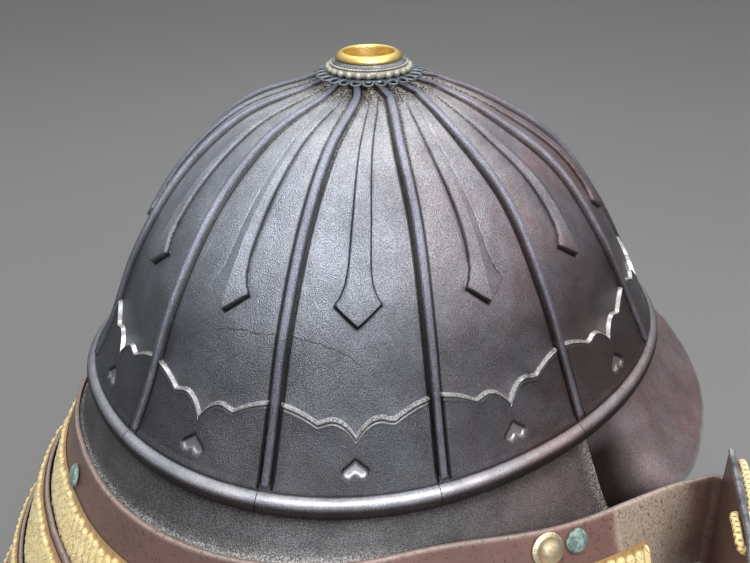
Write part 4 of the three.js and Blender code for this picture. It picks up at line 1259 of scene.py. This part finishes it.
def iron_finish(name, c, groups, base, brown, roughness, grain, plated=False):
    """Patinated iron: brown low down and in front, pebbled, with worn edges, dust, painted highlights and
    painted shade in creases.

    A plated finish also has the crisp lines along a bowl plate's ribs, arrow and fence, and the crack:
    painted shade, partly dirt, in the grooves beside the ribs and round the arrow, and painted highlights,
    partly rubbed, along the fence's upward edges. The overlay mask darkens it, as the overlay plate below the
    fence and as painted shade lower down on the bowl, and the sparkle is a fine speckle that worn edges lose.
    """
    material, nodes, shader, place = new_material(name)
    wear, grime, dusty, overlay = nodes.attributes("wear", "grime", "dusty", "overlay")
    xyz = nodes.add("SeparateXYZ", {0: place}).outputs
    patches = mottled(nodes, groups, place, 16.0, 0.36, 0.66)
    low_down = nodes.ramp(xyz["Z"], -0.025, -0.075, 0.0, 0.25)
    forward = nodes.ramp(xyz["Y"], 0.05, -0.03, 0.0, 0.95)
    bias = nodes.plus(nodes.plus(low_down, forward), brown)
    brownish = nodes.times(bias, nodes.ramp(patches, 0.0, 1.0, 0.35, 1.15), clamp=True)
    if plated:
        rib_gap, arrow_in, below_fence = nodes.attributes("rib_gap", "arrow_in", "below_fence")
        # painted shade, partly dirt, in the grooves beside the ribs and along the arrow's edges
        for line in ((rib_gap, 2.15, 0.35, 1.05, 0.85), (arrow_in, -0.15, 0.1, 0.42, 0.85)):
            grime = nodes.most(grime, line_at(nodes, *line))
        # painted highlights where the fence's edges face up, partly rubbed bright
        for line in ((below_fence, 0.2, 0.3, 0.75, 0.9), (below_fence, 1.6, 0.1, 0.4, 0.5)):
            wear = nodes.most(wear, line_at(nodes, *line))
        grime = nodes.most(grime, crack_mask(nodes, xyz, place))
        # a pale painted highlight along the fence's top, where the overlay's darkening is lifted
        fence = line_at(nodes, below_fence, 0.1, 0.3, 0.85, 1.0)
        dusty = nodes.most(dusty, fence)
        overlay = nodes.times(overlay, nodes.minus(1.0, nodes.times(fence, 0.85)))
    worn = nodes.use(groups["patina"], {
        "Base": opaque(base), "Patch": opaque(c.iron_brown), "Patches": brownish, "Bare and highlight": opaque(c.iron_bare_and_highlight),
        "Wear and highlight": wear, "Dirt and shade": IRON_DIRT_AND_SHADE, "Grime and shade": grime, "Vector": place,
    })
    grain_share = nodes.minus(1.0, nodes.times(wear, 1.6), clamp=True)
    sand = nodes.ramp(nodes.noise(place, 1500.0, 2.0, 0.7), 0.42, 0.62)
    # dust, with the painted highlights along the fence and on the heart's lower lip
    dust = nodes.times(nodes.times(dusty, sand), 0.75)
    colour = nodes.mix(dust, worn["Color"], opaque(c.dust))
    if plated:
        colour = nodes.mix(line_at(nodes, rib_gap, 0.0, 0.9, 1.6, 0.6), colour, opaque(c.iron_rib))
    blots = nodes.ramp(nodes.noise(place, 70.0, 4.0, 0.6), 0.3, 0.7, 0.8, 1.15)
    sparkle = nodes.ramp(nodes.noise(place, 2600.0, 1.5, 0.6), 0.34, 0.66, 0.70, 1.34)
    sparkle = nodes.plus(1.0, nodes.times(nodes.minus(sparkle, 1.0), grain_share))
    # the overlay mask darkens: the overlay plate below the fence and painted shade lower down on the bowl
    light = nodes.times(nodes.times(blots, sparkle), nodes.minus(1.0, nodes.times(overlay, 0.75)))
    grey = nodes.add("CombineColor", {0: light, 1: light, 2: light}).outputs[0]
    rough = nodes.plus(roughness, nodes.times(worn["Rough"], 0.22))
    nodes.fill(shader, {
        "Base Color": nodes.mix(1.0, colour, grey, "MULTIPLY"),
        "Roughness": nodes.plus(rough, nodes.ramp(patches, 0.2, 0.9, -0.04, 0.08)),
        "Normal": grained(nodes, groups, place, 2600.0, nodes.times(grain_share, grain), 0.5),
        "Metallic": nodes.times(nodes.minus(1.0, dust), IRON_METALLIC),
        "Specular IOR Level": 0.5,
    })
    return material


def line_at(nodes, distance, centre, inner, outer, strength):
    """A crisp line where a distance is near centre: full out to inner on either side and gone at outer."""
    return nodes.ramp(nodes.math("ABSOLUTE", nodes.minus(distance, centre)), inner, outer, strength, 0.0)


# turn in degrees, height: a hairline crack across two plates at the wearer's right and back
CRACK = [
    (-152.3, 45.7), (-147.2, 47.6), (-143.4, 47.3), (-140.0, 47.8), (-136.3, 47.6), (-134.1, 47.1),
    (-132.1, 46.5), (-129.3, 45.3), (-127.3, 44.1), (-122.2, 38.9),
]
# the heights between which the crack's curve is drawn
CRACK_LOW, CRACK_HIGH = 36.0, 50.0


def crack_mask(nodes, xyz, place):
    """Full within a hair's width of the crack, whose height is a curve over the plan angle."""
    turn = nodes.math("ARCTAN2", xyz["X"], nodes.times(xyz["Y"], -1.0))
    turns, heights = np.radians([row[0] for row in CRACK]), np.array([row[1] for row in CRACK])
    share = nodes.span(turn, turns[0], turns[-1]).outputs["Result"]
    curve = nodes.add("FloatCurve", {"Value": share})
    points = curve.mapping.curves[0].points
    x = (turns - turns[0]) / (turns[-1] - turns[0])
    y = (heights - CRACK_LOW) / (CRACK_HIGH - CRACK_LOW)
    points[0].location, points[-1].location = (x[0], y[0]), (x[-1], y[-1])
    for at in zip(x[1:-1], y[1:-1]):
        points.new(*at)
    curve.mapping.update()
    wander = nodes.times(nodes.minus(nodes.noise(place, 260.0, 3.0), 0.5), 0.0018)
    rise = nodes.times(curve.outputs[0], (CRACK_HIGH - CRACK_LOW) * MM)
    level = nodes.plus(rise, (RIM_HEIGHT + CRACK_LOW) * MM)
    gap = nodes.math("ABSOLUTE", nodes.minus(nodes.plus(xyz["Z"], wander), level))
    thin = nodes.ramp(gap, 0.00006, 0.0002, 0.75, 0.0)
    inside = nodes.times(nodes.math("GREATER_THAN", share, 0.002), nodes.math("LESS_THAN", share, 0.998))
    wearers_right = nodes.math("LESS_THAN", turn, 0.0)
    return nodes.times(nodes.times(thin, inside), wearers_right)


def lacquer_finish(name, c, groups):
    """Worn russet lacquer: slow patches, speckled tan dust toward the front, dark specks, pale edges."""
    material, nodes, shader, place = new_material(name)
    wear, grime, dusty = nodes.attributes("wear", "grime", "dusty")
    patches = mottled(nodes, groups, place, 22.0, 0.38, 0.64)
    edge = nodes.ramp(nodes.plus(dusty, nodes.times(patches, -0.45)), 0.1, 0.85)
    dust = nodes.times(edge, nodes.ramp(nodes.noise(place, 1100.0, 2.5, 0.75), 0.36, 0.62, 0.45, 1.0))
    specks = nodes.ramp(nodes.noise(place, 620.0, 2.0, 0.7), 0.56, 0.70, 0.0, 0.6)
    worn = nodes.use(groups["patina"], {
        "Base": nodes.mix(patches, opaque(c.lacquer), opaque(c.lacquer_dark)),
        "Patch": opaque(c.lacquer_dust), "Patches": dust,
        "Bare and highlight": opaque(c.lacquer_rub), "Wear and highlight": nodes.times(wear, 0.7),
        "Dirt and shade": LACQUER_DIRT, "Grime and shade": nodes.most(grime, specks), "Vector": place,
    })
    nodes.fill(shader, {
        "Base Color": worn["Color"],
        "Roughness": nodes.plus(0.36, nodes.times(dust, 0.3)),
        "Normal": grained(nodes, groups, place, 1300.0, 0.3, 1.0),
        "Specular IOR Level": 0.6,
    })
    return material


def silk_finish(name, c, groups):
    """Braided silk: pale gold with painted shade in brown where strands dive, and fine strokes that follow
    the strands.
    """
    material, nodes, shader, place = new_material(name)
    deep, strand, lane = nodes.attributes("deep", "strand", "lane")
    along = nodes.add("CombineXYZ", {0: strand, 1: nodes.times(lane, 1.3)}).outputs[0]
    strokes = nodes.noise(along, 1.5, 3.0, 0.6)
    thread = nodes.noise(place, 2600.0, 2.0, 0.6)
    light = nodes.mix(mottled(nodes, groups, place, 30.0, 0.36, 0.66), opaque(c.silk), opaque(c.silk_faded))
    light = nodes.mix(nodes.ramp(strokes, 0.36, 0.47, 0.8, 0.0), light, opaque(c.silk_deep))
    nodes.fill(shader, {
        "Base Color": nodes.mix(nodes.ramp(deep, 0.38, 0.85, 0.0, 0.92), light, opaque(c.silk_deep)),
        "Normal": nodes.bump(nodes.plus(nodes.times(strokes, 2.0), nodes.times(thread, 0.4)), 0.7, 0.0006),
        "Roughness": 0.75, "Sheen Weight": 0.25, "Sheen Roughness": 0.4,
    })
    return material


def metal_finish(name, base, dark, groups, roughness, metallic, scale, tarnish):
    """A small fitting's metal: bright with dark tarnish in patches and a fine scratched skin."""
    material, nodes, shader, place = new_material(name)
    patches = mottled(nodes, groups, place, scale, 0.42, 0.68)
    nodes.fill(shader, {
        "Base Color": nodes.mix(nodes.times(patches, tarnish), opaque(base), opaque(dark)),
        "Roughness": nodes.ramp(patches, 0.0, 1.0, roughness, roughness + 0.2),
        "Normal": grained(nodes, groups, place, 1800.0, 0.25, 0.8),
        "Metallic": metallic,
    })
    return material


def verdigris_finish(name, c):
    """Copper under a matt green crust, crumbly, with darker pits."""
    material, nodes, shader, place = new_material(name)
    blots = nodes.noise(place, 520.0, 4.0, 0.7)
    nodes.fill(shader, {
        "Base Color": nodes.mix(nodes.ramp(blots, 0.4, 0.62), opaque(c.verdigris_dark), opaque(c.verdigris)),
        "Normal": nodes.bump(blots, 0.9, 0.0009),
        "Roughness": 0.85,
    })
    return material


# ---------------------------------------------------------------- what a user can change

Float = bpy.props.FloatProperty
LARGEST_SIZE = 10.0


def colour_property(name, default, description):
    """A colour that a user can change."""
    return bpy.props.FloatVectorProperty(
        name=name, description=description, default=default, subtype="COLOR", size=3, min=0, max=1
    )


def size_property(name, default, description, low=0.0):
    """A length in millimetres, so without Blender's own unit of metres."""
    text = description + ", in millimetres"
    return Float(name=name, description=text, default=default, min=low, max=LARGEST_SIZE, unit="NONE")


def power_property(name, default, description):
    """A light's power."""
    return Float(name=name, description=description, default=default, min=0, unit="POWER")


class HelmetSizes(bpy.types.PropertyGroup):
    """Sizes of the relief and the lacing, in millimetres."""

    rib_proud: size_property("Rib height", 2.3, "How far a rib stands out of the plates")
    fence_proud: size_property("Fence height", 1.0, "How thick the scalloped overlay is")
    arrow_proud: size_property("Arrow height", 1.2, "How far an arrow stands out of its plate")
    heart_depth: size_property("Heart depth", 1.0, "How far a heart is sunk into the overlay")
    cord_pitch: size_property("Cord pitch", 4.4, "The distance between two lacing cords", 2.0)
    strand_pitch: size_property("Strand pitch", 3.0, "The length of one strand's turn in a braid", 1.0)


class HelmetColours(bpy.types.PropertyGroup):
    """Colours of the finishes."""

    iron: colour_property("Iron", (0.40, 0.435, 0.505), "Patinated iron of the bowl")
    iron_band: colour_property("Band iron", (0.125, 0.122, 0.135), "Patinated iron of the koshimaki")
    iron_peak: colour_property("Peak iron", (0.42, 0.37, 0.4), "Patinated iron of the visor")
    iron_brown: colour_property("Brown iron", (0.31, 0.215, 0.22), "Iron where its patina turns brown")
    iron_rib: colour_property("Rib iron", (0.33, 0.345, 0.44), "Iron on the tops of the ribs")
    # also the painted highlights along the fence and on the bead's top
    iron_bare_and_highlight: colour_property("Worn iron", (0.70, 0.71, 0.72), "Iron rubbed bright along its edges")
    # also the painted highlights along the fence and on the heart's lower lip
    dust: colour_property("Dust", (0.60, 0.58, 0.52), "Pale dust caught in the iron's grain")
    lacquer: colour_property("Russet lacquer", (0.19, 0.105, 0.088), "Lacquer on the lames")
    lacquer_dark: colour_property("Dark lacquer", (0.125, 0.075, 0.066), "Lacquer in its darker patches")
    lacquer_dust: colour_property("Dusty lacquer", (0.36, 0.29, 0.225), "Dust lying on the lacquer")
    lacquer_rub: colour_property("Rubbed lacquer", (0.5, 0.41, 0.37), "Lacquer rubbed pale along its edges")
    silk: colour_property("Silk", (1.0, 0.77, 0.33), "Lacing silk")
    silk_faded: colour_property("Faded silk", (1.0, 0.88, 0.52), "Silk where it has faded")
    # the painted shade where strands dive and under the lame above
    silk_deep: colour_property("Silk in shade", (0.33, 0.18, 0.055), "Silk where strands dive")
    gilt: colour_property("Gilt", (1.0, 0.76, 0.28), "Gilding of the crown collar")
    gilt_dark: colour_property("Dull gilt", (0.62, 0.42, 0.14), "Gilding where it is dull")
    brass: colour_property("Rivet brass", (0.86, 0.76, 0.55), "The worn gilt of the rivets")
    brass_dark: colour_property("Dull brass", (0.36, 0.27, 0.16), "Rivet gilt where it is dull")
    grey_metal: colour_property("Grey metal", (0.34, 0.35, 0.37), "The crown rings and the turn-back rims")
    ring_metal: colour_property("Pale ring metal", (0.50, 0.485, 0.42), "Beads and fine rings of the crown")
    petal_metal: colour_property("Petal metal", (0.22, 0.245, 0.28), "The petals of the crown")
    grey_dark: colour_property("Dark grey metal", (0.05, 0.055, 0.06), "Grey metal in its creases")
    verdigris: colour_property("Verdigris", (0.31, 0.41, 0.37), "Green crust on copper")
    verdigris_dark: colour_property("Dark verdigris", (0.11, 0.17, 0.155), "Green crust in its pits")


class HelmetStage(bpy.types.PropertyGroup):
    """The floor, the lights and the camera."""

    floor: colour_property("Floor", (0.2, 0.2, 0.2), "The pale floor")
    key_power: power_property("Key light", 23.0, "Power of the large light at the wearer's right")
    pool_power: power_property("Pool light", 3.0, "Power of the light on the floor")
    sky: Float(name="Ceiling", description="Strength of the soft ceiling", default=0.75, min=0)
    lens: Float(name="Lens", description="Focal length", default=45.22, min=10, unit="CAMERA")


# the finishes made so far
FINISHES = {}


# name, bright and dark colour, roughness, metallic, how fine its patches of tarnish are and how strong
METALS = {
    "gilt": ("Bright gilt", "gilt", "gilt_dark", 0.28, 1.0, 90.0, 0.7),
    "brass": ("Worn rivet gilt", "brass", "brass_dark", 0.38, 0.9, 160.0, 0.9),
    "grey": ("Worn grey metal", "grey_metal", "grey_dark", 0.42, 0.75, 200.0, 0.9),
    "pale": ("Pale ring metal", "ring_metal", "grey_dark", 0.45, 0.4, 300.0, 0.5),
    "dark": ("Dark petal metal", "petal_metal", "grey_dark", 0.4, 0.8, 260.0, 0.8),
}


def finish(kind):
    """The finish of a kind; the first time, all are made with the node groups that they share."""
    if not FINISHES:
        c = bpy.context.scene.helmet_colours
        groups = {"mottle": mottle_group(), "grain": grain_group(), "patina": patina_group()}
        FINISHES.update({
            "bowl": iron_finish("Patinated iron", c, groups, c.iron, 0.05, 0.34, 0.6, plated=True),
            "band": iron_finish("Brown iron band", c, groups, c.iron_band, -0.45, 0.4, 0.5),
            "peak": iron_finish("Brown iron peak", c, groups, c.iron_peak, 0.0, 0.4, 0.25),
            "lacquer": lacquer_finish("Russet lacquer", c, groups),
            "silk": silk_finish("Yellow silk", c, groups),
            "verdigris": verdigris_finish("Verdigris copper", c),
        })
        for metal, (name, bright, dark, *amounts) in METALS.items():
            FINISHES[metal] = metal_finish(name, getattr(c, bright), getattr(c, dark), groups, *amounts)
    return FINISHES[kind]


# ---------------------------------------------------------------- operators, one for each kind of piece


class HELMET_OT_bowl(bpy.types.Operator):
    """Build the twelve plates of the bowl with their ribs, arrows, fence, hearts and bead"""

    bl_idname = "helmet.bowl"
    bl_label = "Bowl plates"

    def execute(self, context):
        for n in range(PLATES):
            surface = plate_surface(n * 2 * HALF_PLATE, context.scene.helmet_sizes)
            make_piece(f"plate_{n + 1:02d}", f"bowl_plate_{n + 1:02d}", "bowl", *surface)
        return {"FINISHED"}


class HELMET_OT_band(bpy.types.Operator):
    """Build the koshimaki and the visor that hang from the bowl's rim"""

    bl_idname = "helmet.band"
    bl_label = "Koshimaki and visor"

    def execute(self, context):
        make_piece("koshimaki_iron", "koshimaki", "band", *koshimaki_surface())
        make_piece("visor_iron", "visor", "peak", *visor_surface())
        return {"FINISHED"}


class HELMET_OT_neck_guard(bpy.types.Operator):
    """Build the five lames of the neck guard with their turned-back front plates"""

    bl_idname = "helmet.neck_guard"
    bl_label = "Neck guard lames"

    def execute(self, context):
        surfaces = [top_lame_surface(), *(lame_surface(lame) for lame in LAMES[1:])]
        for n, surface in enumerate(surfaces, 1):
            make_piece(f"lame_plate_{n}", f"lame_{n}", "lacquer", *surface)
        return {"FINISHED"}


class HELMET_OT_lacing(bpy.types.Operator):
    """Build the rows of braided silk between the lames"""

    bl_idname = "helmet.lacing"
    bl_label = "Silk lacing"

    def execute(self, context):
        for n in range(len(LACING_STARTS)):
            surface = lacing_surface(n, context.scene.helmet_sizes)
            make_piece(f"braids_{n + 1}", f"lacing_{n + 1}", "silk", *surface, sharp=180)
        return {"FINISHED"}


# what turns the wearer's left into each side
SIDES = {"left": [1, 1, 1], "right": [-1, 1, 1]}


class HELMET_OT_turnbacks(bpy.types.Operator):
    """Build the rims and the silk cords of the turn-backs"""

    bl_idname = "helmet.turnbacks"
    bl_label = "Turn-back rims and cords"

    def execute(self, context):
        for side, mirror in SIDES.items():
            points, faces = turnback_rim_surface()
            make_piece(f"rim_{side}", f"turnback_rim_{side}", "grey", points * mirror, faces)
            points, *rest = turnback_cord_surface()
            make_piece(f"cord_{side}", f"turnback_cord_{side}", "silk", points * mirror, *rest, sharp=180)
        return {"FINISHED"}


# name, surface, y, how far below the lame's top edge, finish
RIVETS = (("rivet_gilt", gilt_rivet, -3, 5.6, "brass"), ("rivet_copper", copper_rivet, -15, 5.2, "verdigris"))
BACK_RIVET_DEPTH = 9


class HELMET_OT_rivets(bpy.types.Operator):
    """Build the milled gilt rivets and the green copper ones"""

    bl_idname = "helmet.rivets"
    bl_label = "Rivets"

    def execute(self, context):
        for name, surface, y, depth, kind in RIVETS:
            points, faces = surface()
            points = seat(points, station(y), depth)
            for side, mirror in SIDES.items():
                make_piece(f"{name}_head_{side}", f"{name}_{side}", kind, points * mirror, faces)
        points, faces = copper_rivet()
        points = seat(points, station(), BACK_RIVET_DEPTH)
        make_piece("rivet_copper_head_back", "rivet_copper_back", "verdigris", points, faces)
        return {"FINISHED"}


# name, surface, CAD node, finish
CROWN = (
    ("petals", petal_ring_surface, "tehen_petal_ring", "dark"),
    ("pearls", pearl_ring_surface, "tehen_pearl_ring", "pale"),
    ("twist", milled_ring_surface, "tehen_milled_ring", "pale"),
    ("steps", stepped_ring_surface, "tehen_stepped_ring", "grey"),
    ("collar", collar_surface, "tehen_gilt_collar", "gilt"),
)


class HELMET_OT_crown(bpy.types.Operator):
    """Build the crown fitting's petals, beads, twisted ring, stepped ring and gilt collar"""

    bl_idname = "helmet.crown"
    bl_label = "Crown fitting"

    def execute(self, context):
        for name, surface, node, kind in CROWN:
            points, faces = surface()
            make_piece(f"crown_{name}", node, kind, points + [0, CROWN_BACK, RIM_HEIGHT], faces)
        return {"FINISHED"}


# name, place, target, width, colour
LIGHTS = (
    ("Key", (-0.85, 0.17, 0.95), (-0.06, 0.03, -0.02), 1.2, (1.0, 0.99, 0.97)),
    ("Pool", (0.5, -0.24, 0.75), (0.45, -0.22, -0.25), 0.7, (1.0, 0.99, 0.98)),
)


def area_light(name, place, target, width, colour, power):
    """A square soft light at a place, facing a target."""
    light = bpy.data.lights.new(name, "AREA")
    light.shape = "RECTANGLE"
    light.size = light.size_y = width
    light.energy = power
    light.color = colour
    lamp = bpy.data.objects.new(name, light)
    lamp.location = place
    lamp.rotation_euler = (Vector(target) - Vector(place)).to_track_quat("-Z", "Y").to_euler()
    bpy.context.scene.collection.objects.link(lamp)


# in metres, the way it looks, and its roll
CAMERA_PLACE = (-0.300, 0.15598, 0.10957)
CAMERA_FORWARD = (0.7961, -0.4023, -0.4522)
CAMERA_ROLL = math.radians(0.93)


def aim_camera(lens):
    """The camera stands to the rear right of the wearer and above, and is rolled a little."""
    data = bpy.data.cameras.new("Camera")
    data.lens = lens
    data.sensor_width = 36
    camera = bpy.data.objects.new("Camera", data)
    forward = Vector(CAMERA_FORWARD).normalized()
    right = forward.cross(Vector((0, 0, 1))).normalized()
    up = right.cross(forward)
    across = right * math.cos(CAMERA_ROLL) - up * math.sin(CAMERA_ROLL)
    upward = up * math.cos(CAMERA_ROLL) + right * math.sin(CAMERA_ROLL)
    camera.matrix_world = Matrix((across, upward, -forward)).transposed().to_4x4()
    camera.matrix_world.translation = Vector(CAMERA_PLACE)
    bpy.context.scene.collection.objects.link(camera)
    bpy.context.scene.camera = camera


# in millimetres: how far the floor lies under the helmet, how thick it is and how far it reaches each way
FLOOR_GAP, FLOOR_DEEP, FLOOR_REACH = 0.5, 20, 9000.0


def lay_floor(colour):
    """A wide matt slab under the helmet, whose colour drifts a little."""
    top = cad_low.z / MM - FLOOR_GAP
    corners = np.array([(-1, -1), (1, -1), (1, 1), (-1, 1)]) * FLOOR_REACH
    points = np.array([(*corner, top - deep) for deep in (0, FLOOR_DEEP) for corner in corners])
    sides = [[n + 4, (n + 1) % 4 + 4, (n + 1) % 4, n] for n in range(4)]
    material, nodes, shader, place = new_material("Pale floor")
    cloud = nodes.ramp(nodes.noise(place, 1.3, 3.0), 0.3, 0.7)
    tint = nodes.mix(cloud, opaque(colour), opaque([v * 1.06 for v in colour]))
    nodes.fill(shader, {"Base Color": tint, "Roughness": 0.9, "Specular IOR Level": 0.1})
    floor = bpy.data.objects.new("floor", bpy.data.meshes.new("floor"))
    floor.data.from_pydata((points * MM).tolist(), [], [[0, 1, 2, 3], [7, 6, 5, 4], *sides])
    floor.data.materials.append(material)
    bpy.context.scene.collection.objects.link(floor)


def hang_ceiling(strength):
    """A soft world light that fades from straight up, where it is full, down to the horizon."""
    world = bpy.data.worlds.new("Soft ceiling")
    world.use_nodes = True
    nodes = Nodes(world.node_tree)
    upward = nodes.add("SeparateXYZ", {0: nodes.add("TexCoord", {}).outputs["Generated"]}).outputs["Z"]
    glow = nodes.ramp(upward, 0.0, 0.75, 0.22, 1.0)
    background = world.node_tree.nodes["Background"]
    nodes.fill(background, {"Color": (0.97, 0.985, 1.0, 1), "Strength": nodes.times(glow, strength)})
    bpy.context.scene.world = world


class HELMET_OT_stage(bpy.types.Operator):
    """Lay the pale floor, hang the soft lights and set the camera"""

    bl_idname = "helmet.stage"
    bl_label = "Floor, lights and camera"

    def execute(self, context):
        stage = context.scene.helmet_stage
        lay_floor(stage.floor)
        for light, power in zip(LIGHTS, (stage.key_power, stage.pool_power)):
            area_light(*light, power)
        hang_ceiling(stage.sky)
        context.scene.view_settings.view_transform = "Standard"
        aim_camera(stage.lens)
        return {"FINISHED"}


STEPS = ("stage", "bowl", "band", "neck_guard", "lacing", "turnbacks", "rivets", "crown")


class HELMET_PT_panel(bpy.types.Panel):
    """The helmet's sizes, colours and building steps"""

    bl_idname = "HELMET_PT_panel"
    bl_label = "Ridged helmet"
    bl_space_type = "VIEW_3D"
    bl_region_type = "UI"
    bl_category = "Helmet"

    def draw(self, context):
        layout = self.layout
        for group in (context.scene.helmet_sizes, context.scene.helmet_colours, context.scene.helmet_stage):
            box = layout.box()
            for name in group.__annotations__:
                box.prop(group, name)
        for step in STEPS:
            layout.operator(f"helmet.{step}")


GROUPS = (HelmetSizes, HelmetColours, HelmetStage)
OPERATORS = (
    HELMET_OT_stage, HELMET_OT_bowl, HELMET_OT_band, HELMET_OT_neck_guard, HELMET_OT_lacing,
    HELMET_OT_turnbacks, HELMET_OT_rivets, HELMET_OT_crown,
)
CLASSES = (*GROUPS, *OPERATORS, HELMET_PT_panel)


def register():
    for each in CLASSES:
        bpy.utils.register_class(each)
    bpy.types.Scene.helmet_sizes = bpy.props.PointerProperty(type=HelmetSizes)
    bpy.types.Scene.helmet_colours = bpy.props.PointerProperty(type=HelmetColours)
    bpy.types.Scene.helmet_stage = bpy.props.PointerProperty(type=HelmetStage)


def unregister():
    del bpy.types.Scene.helmet_stage
    del bpy.types.Scene.helmet_colours
    del bpy.types.Scene.helmet_sizes
    for each in reversed(CLASSES):
        bpy.utils.unregister_class(each)


def main():
    """Registers the add-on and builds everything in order."""
    register()
    for step in STEPS:
        getattr(bpy.ops.helmet, step)()


if __name__ == "__main__":
    main()
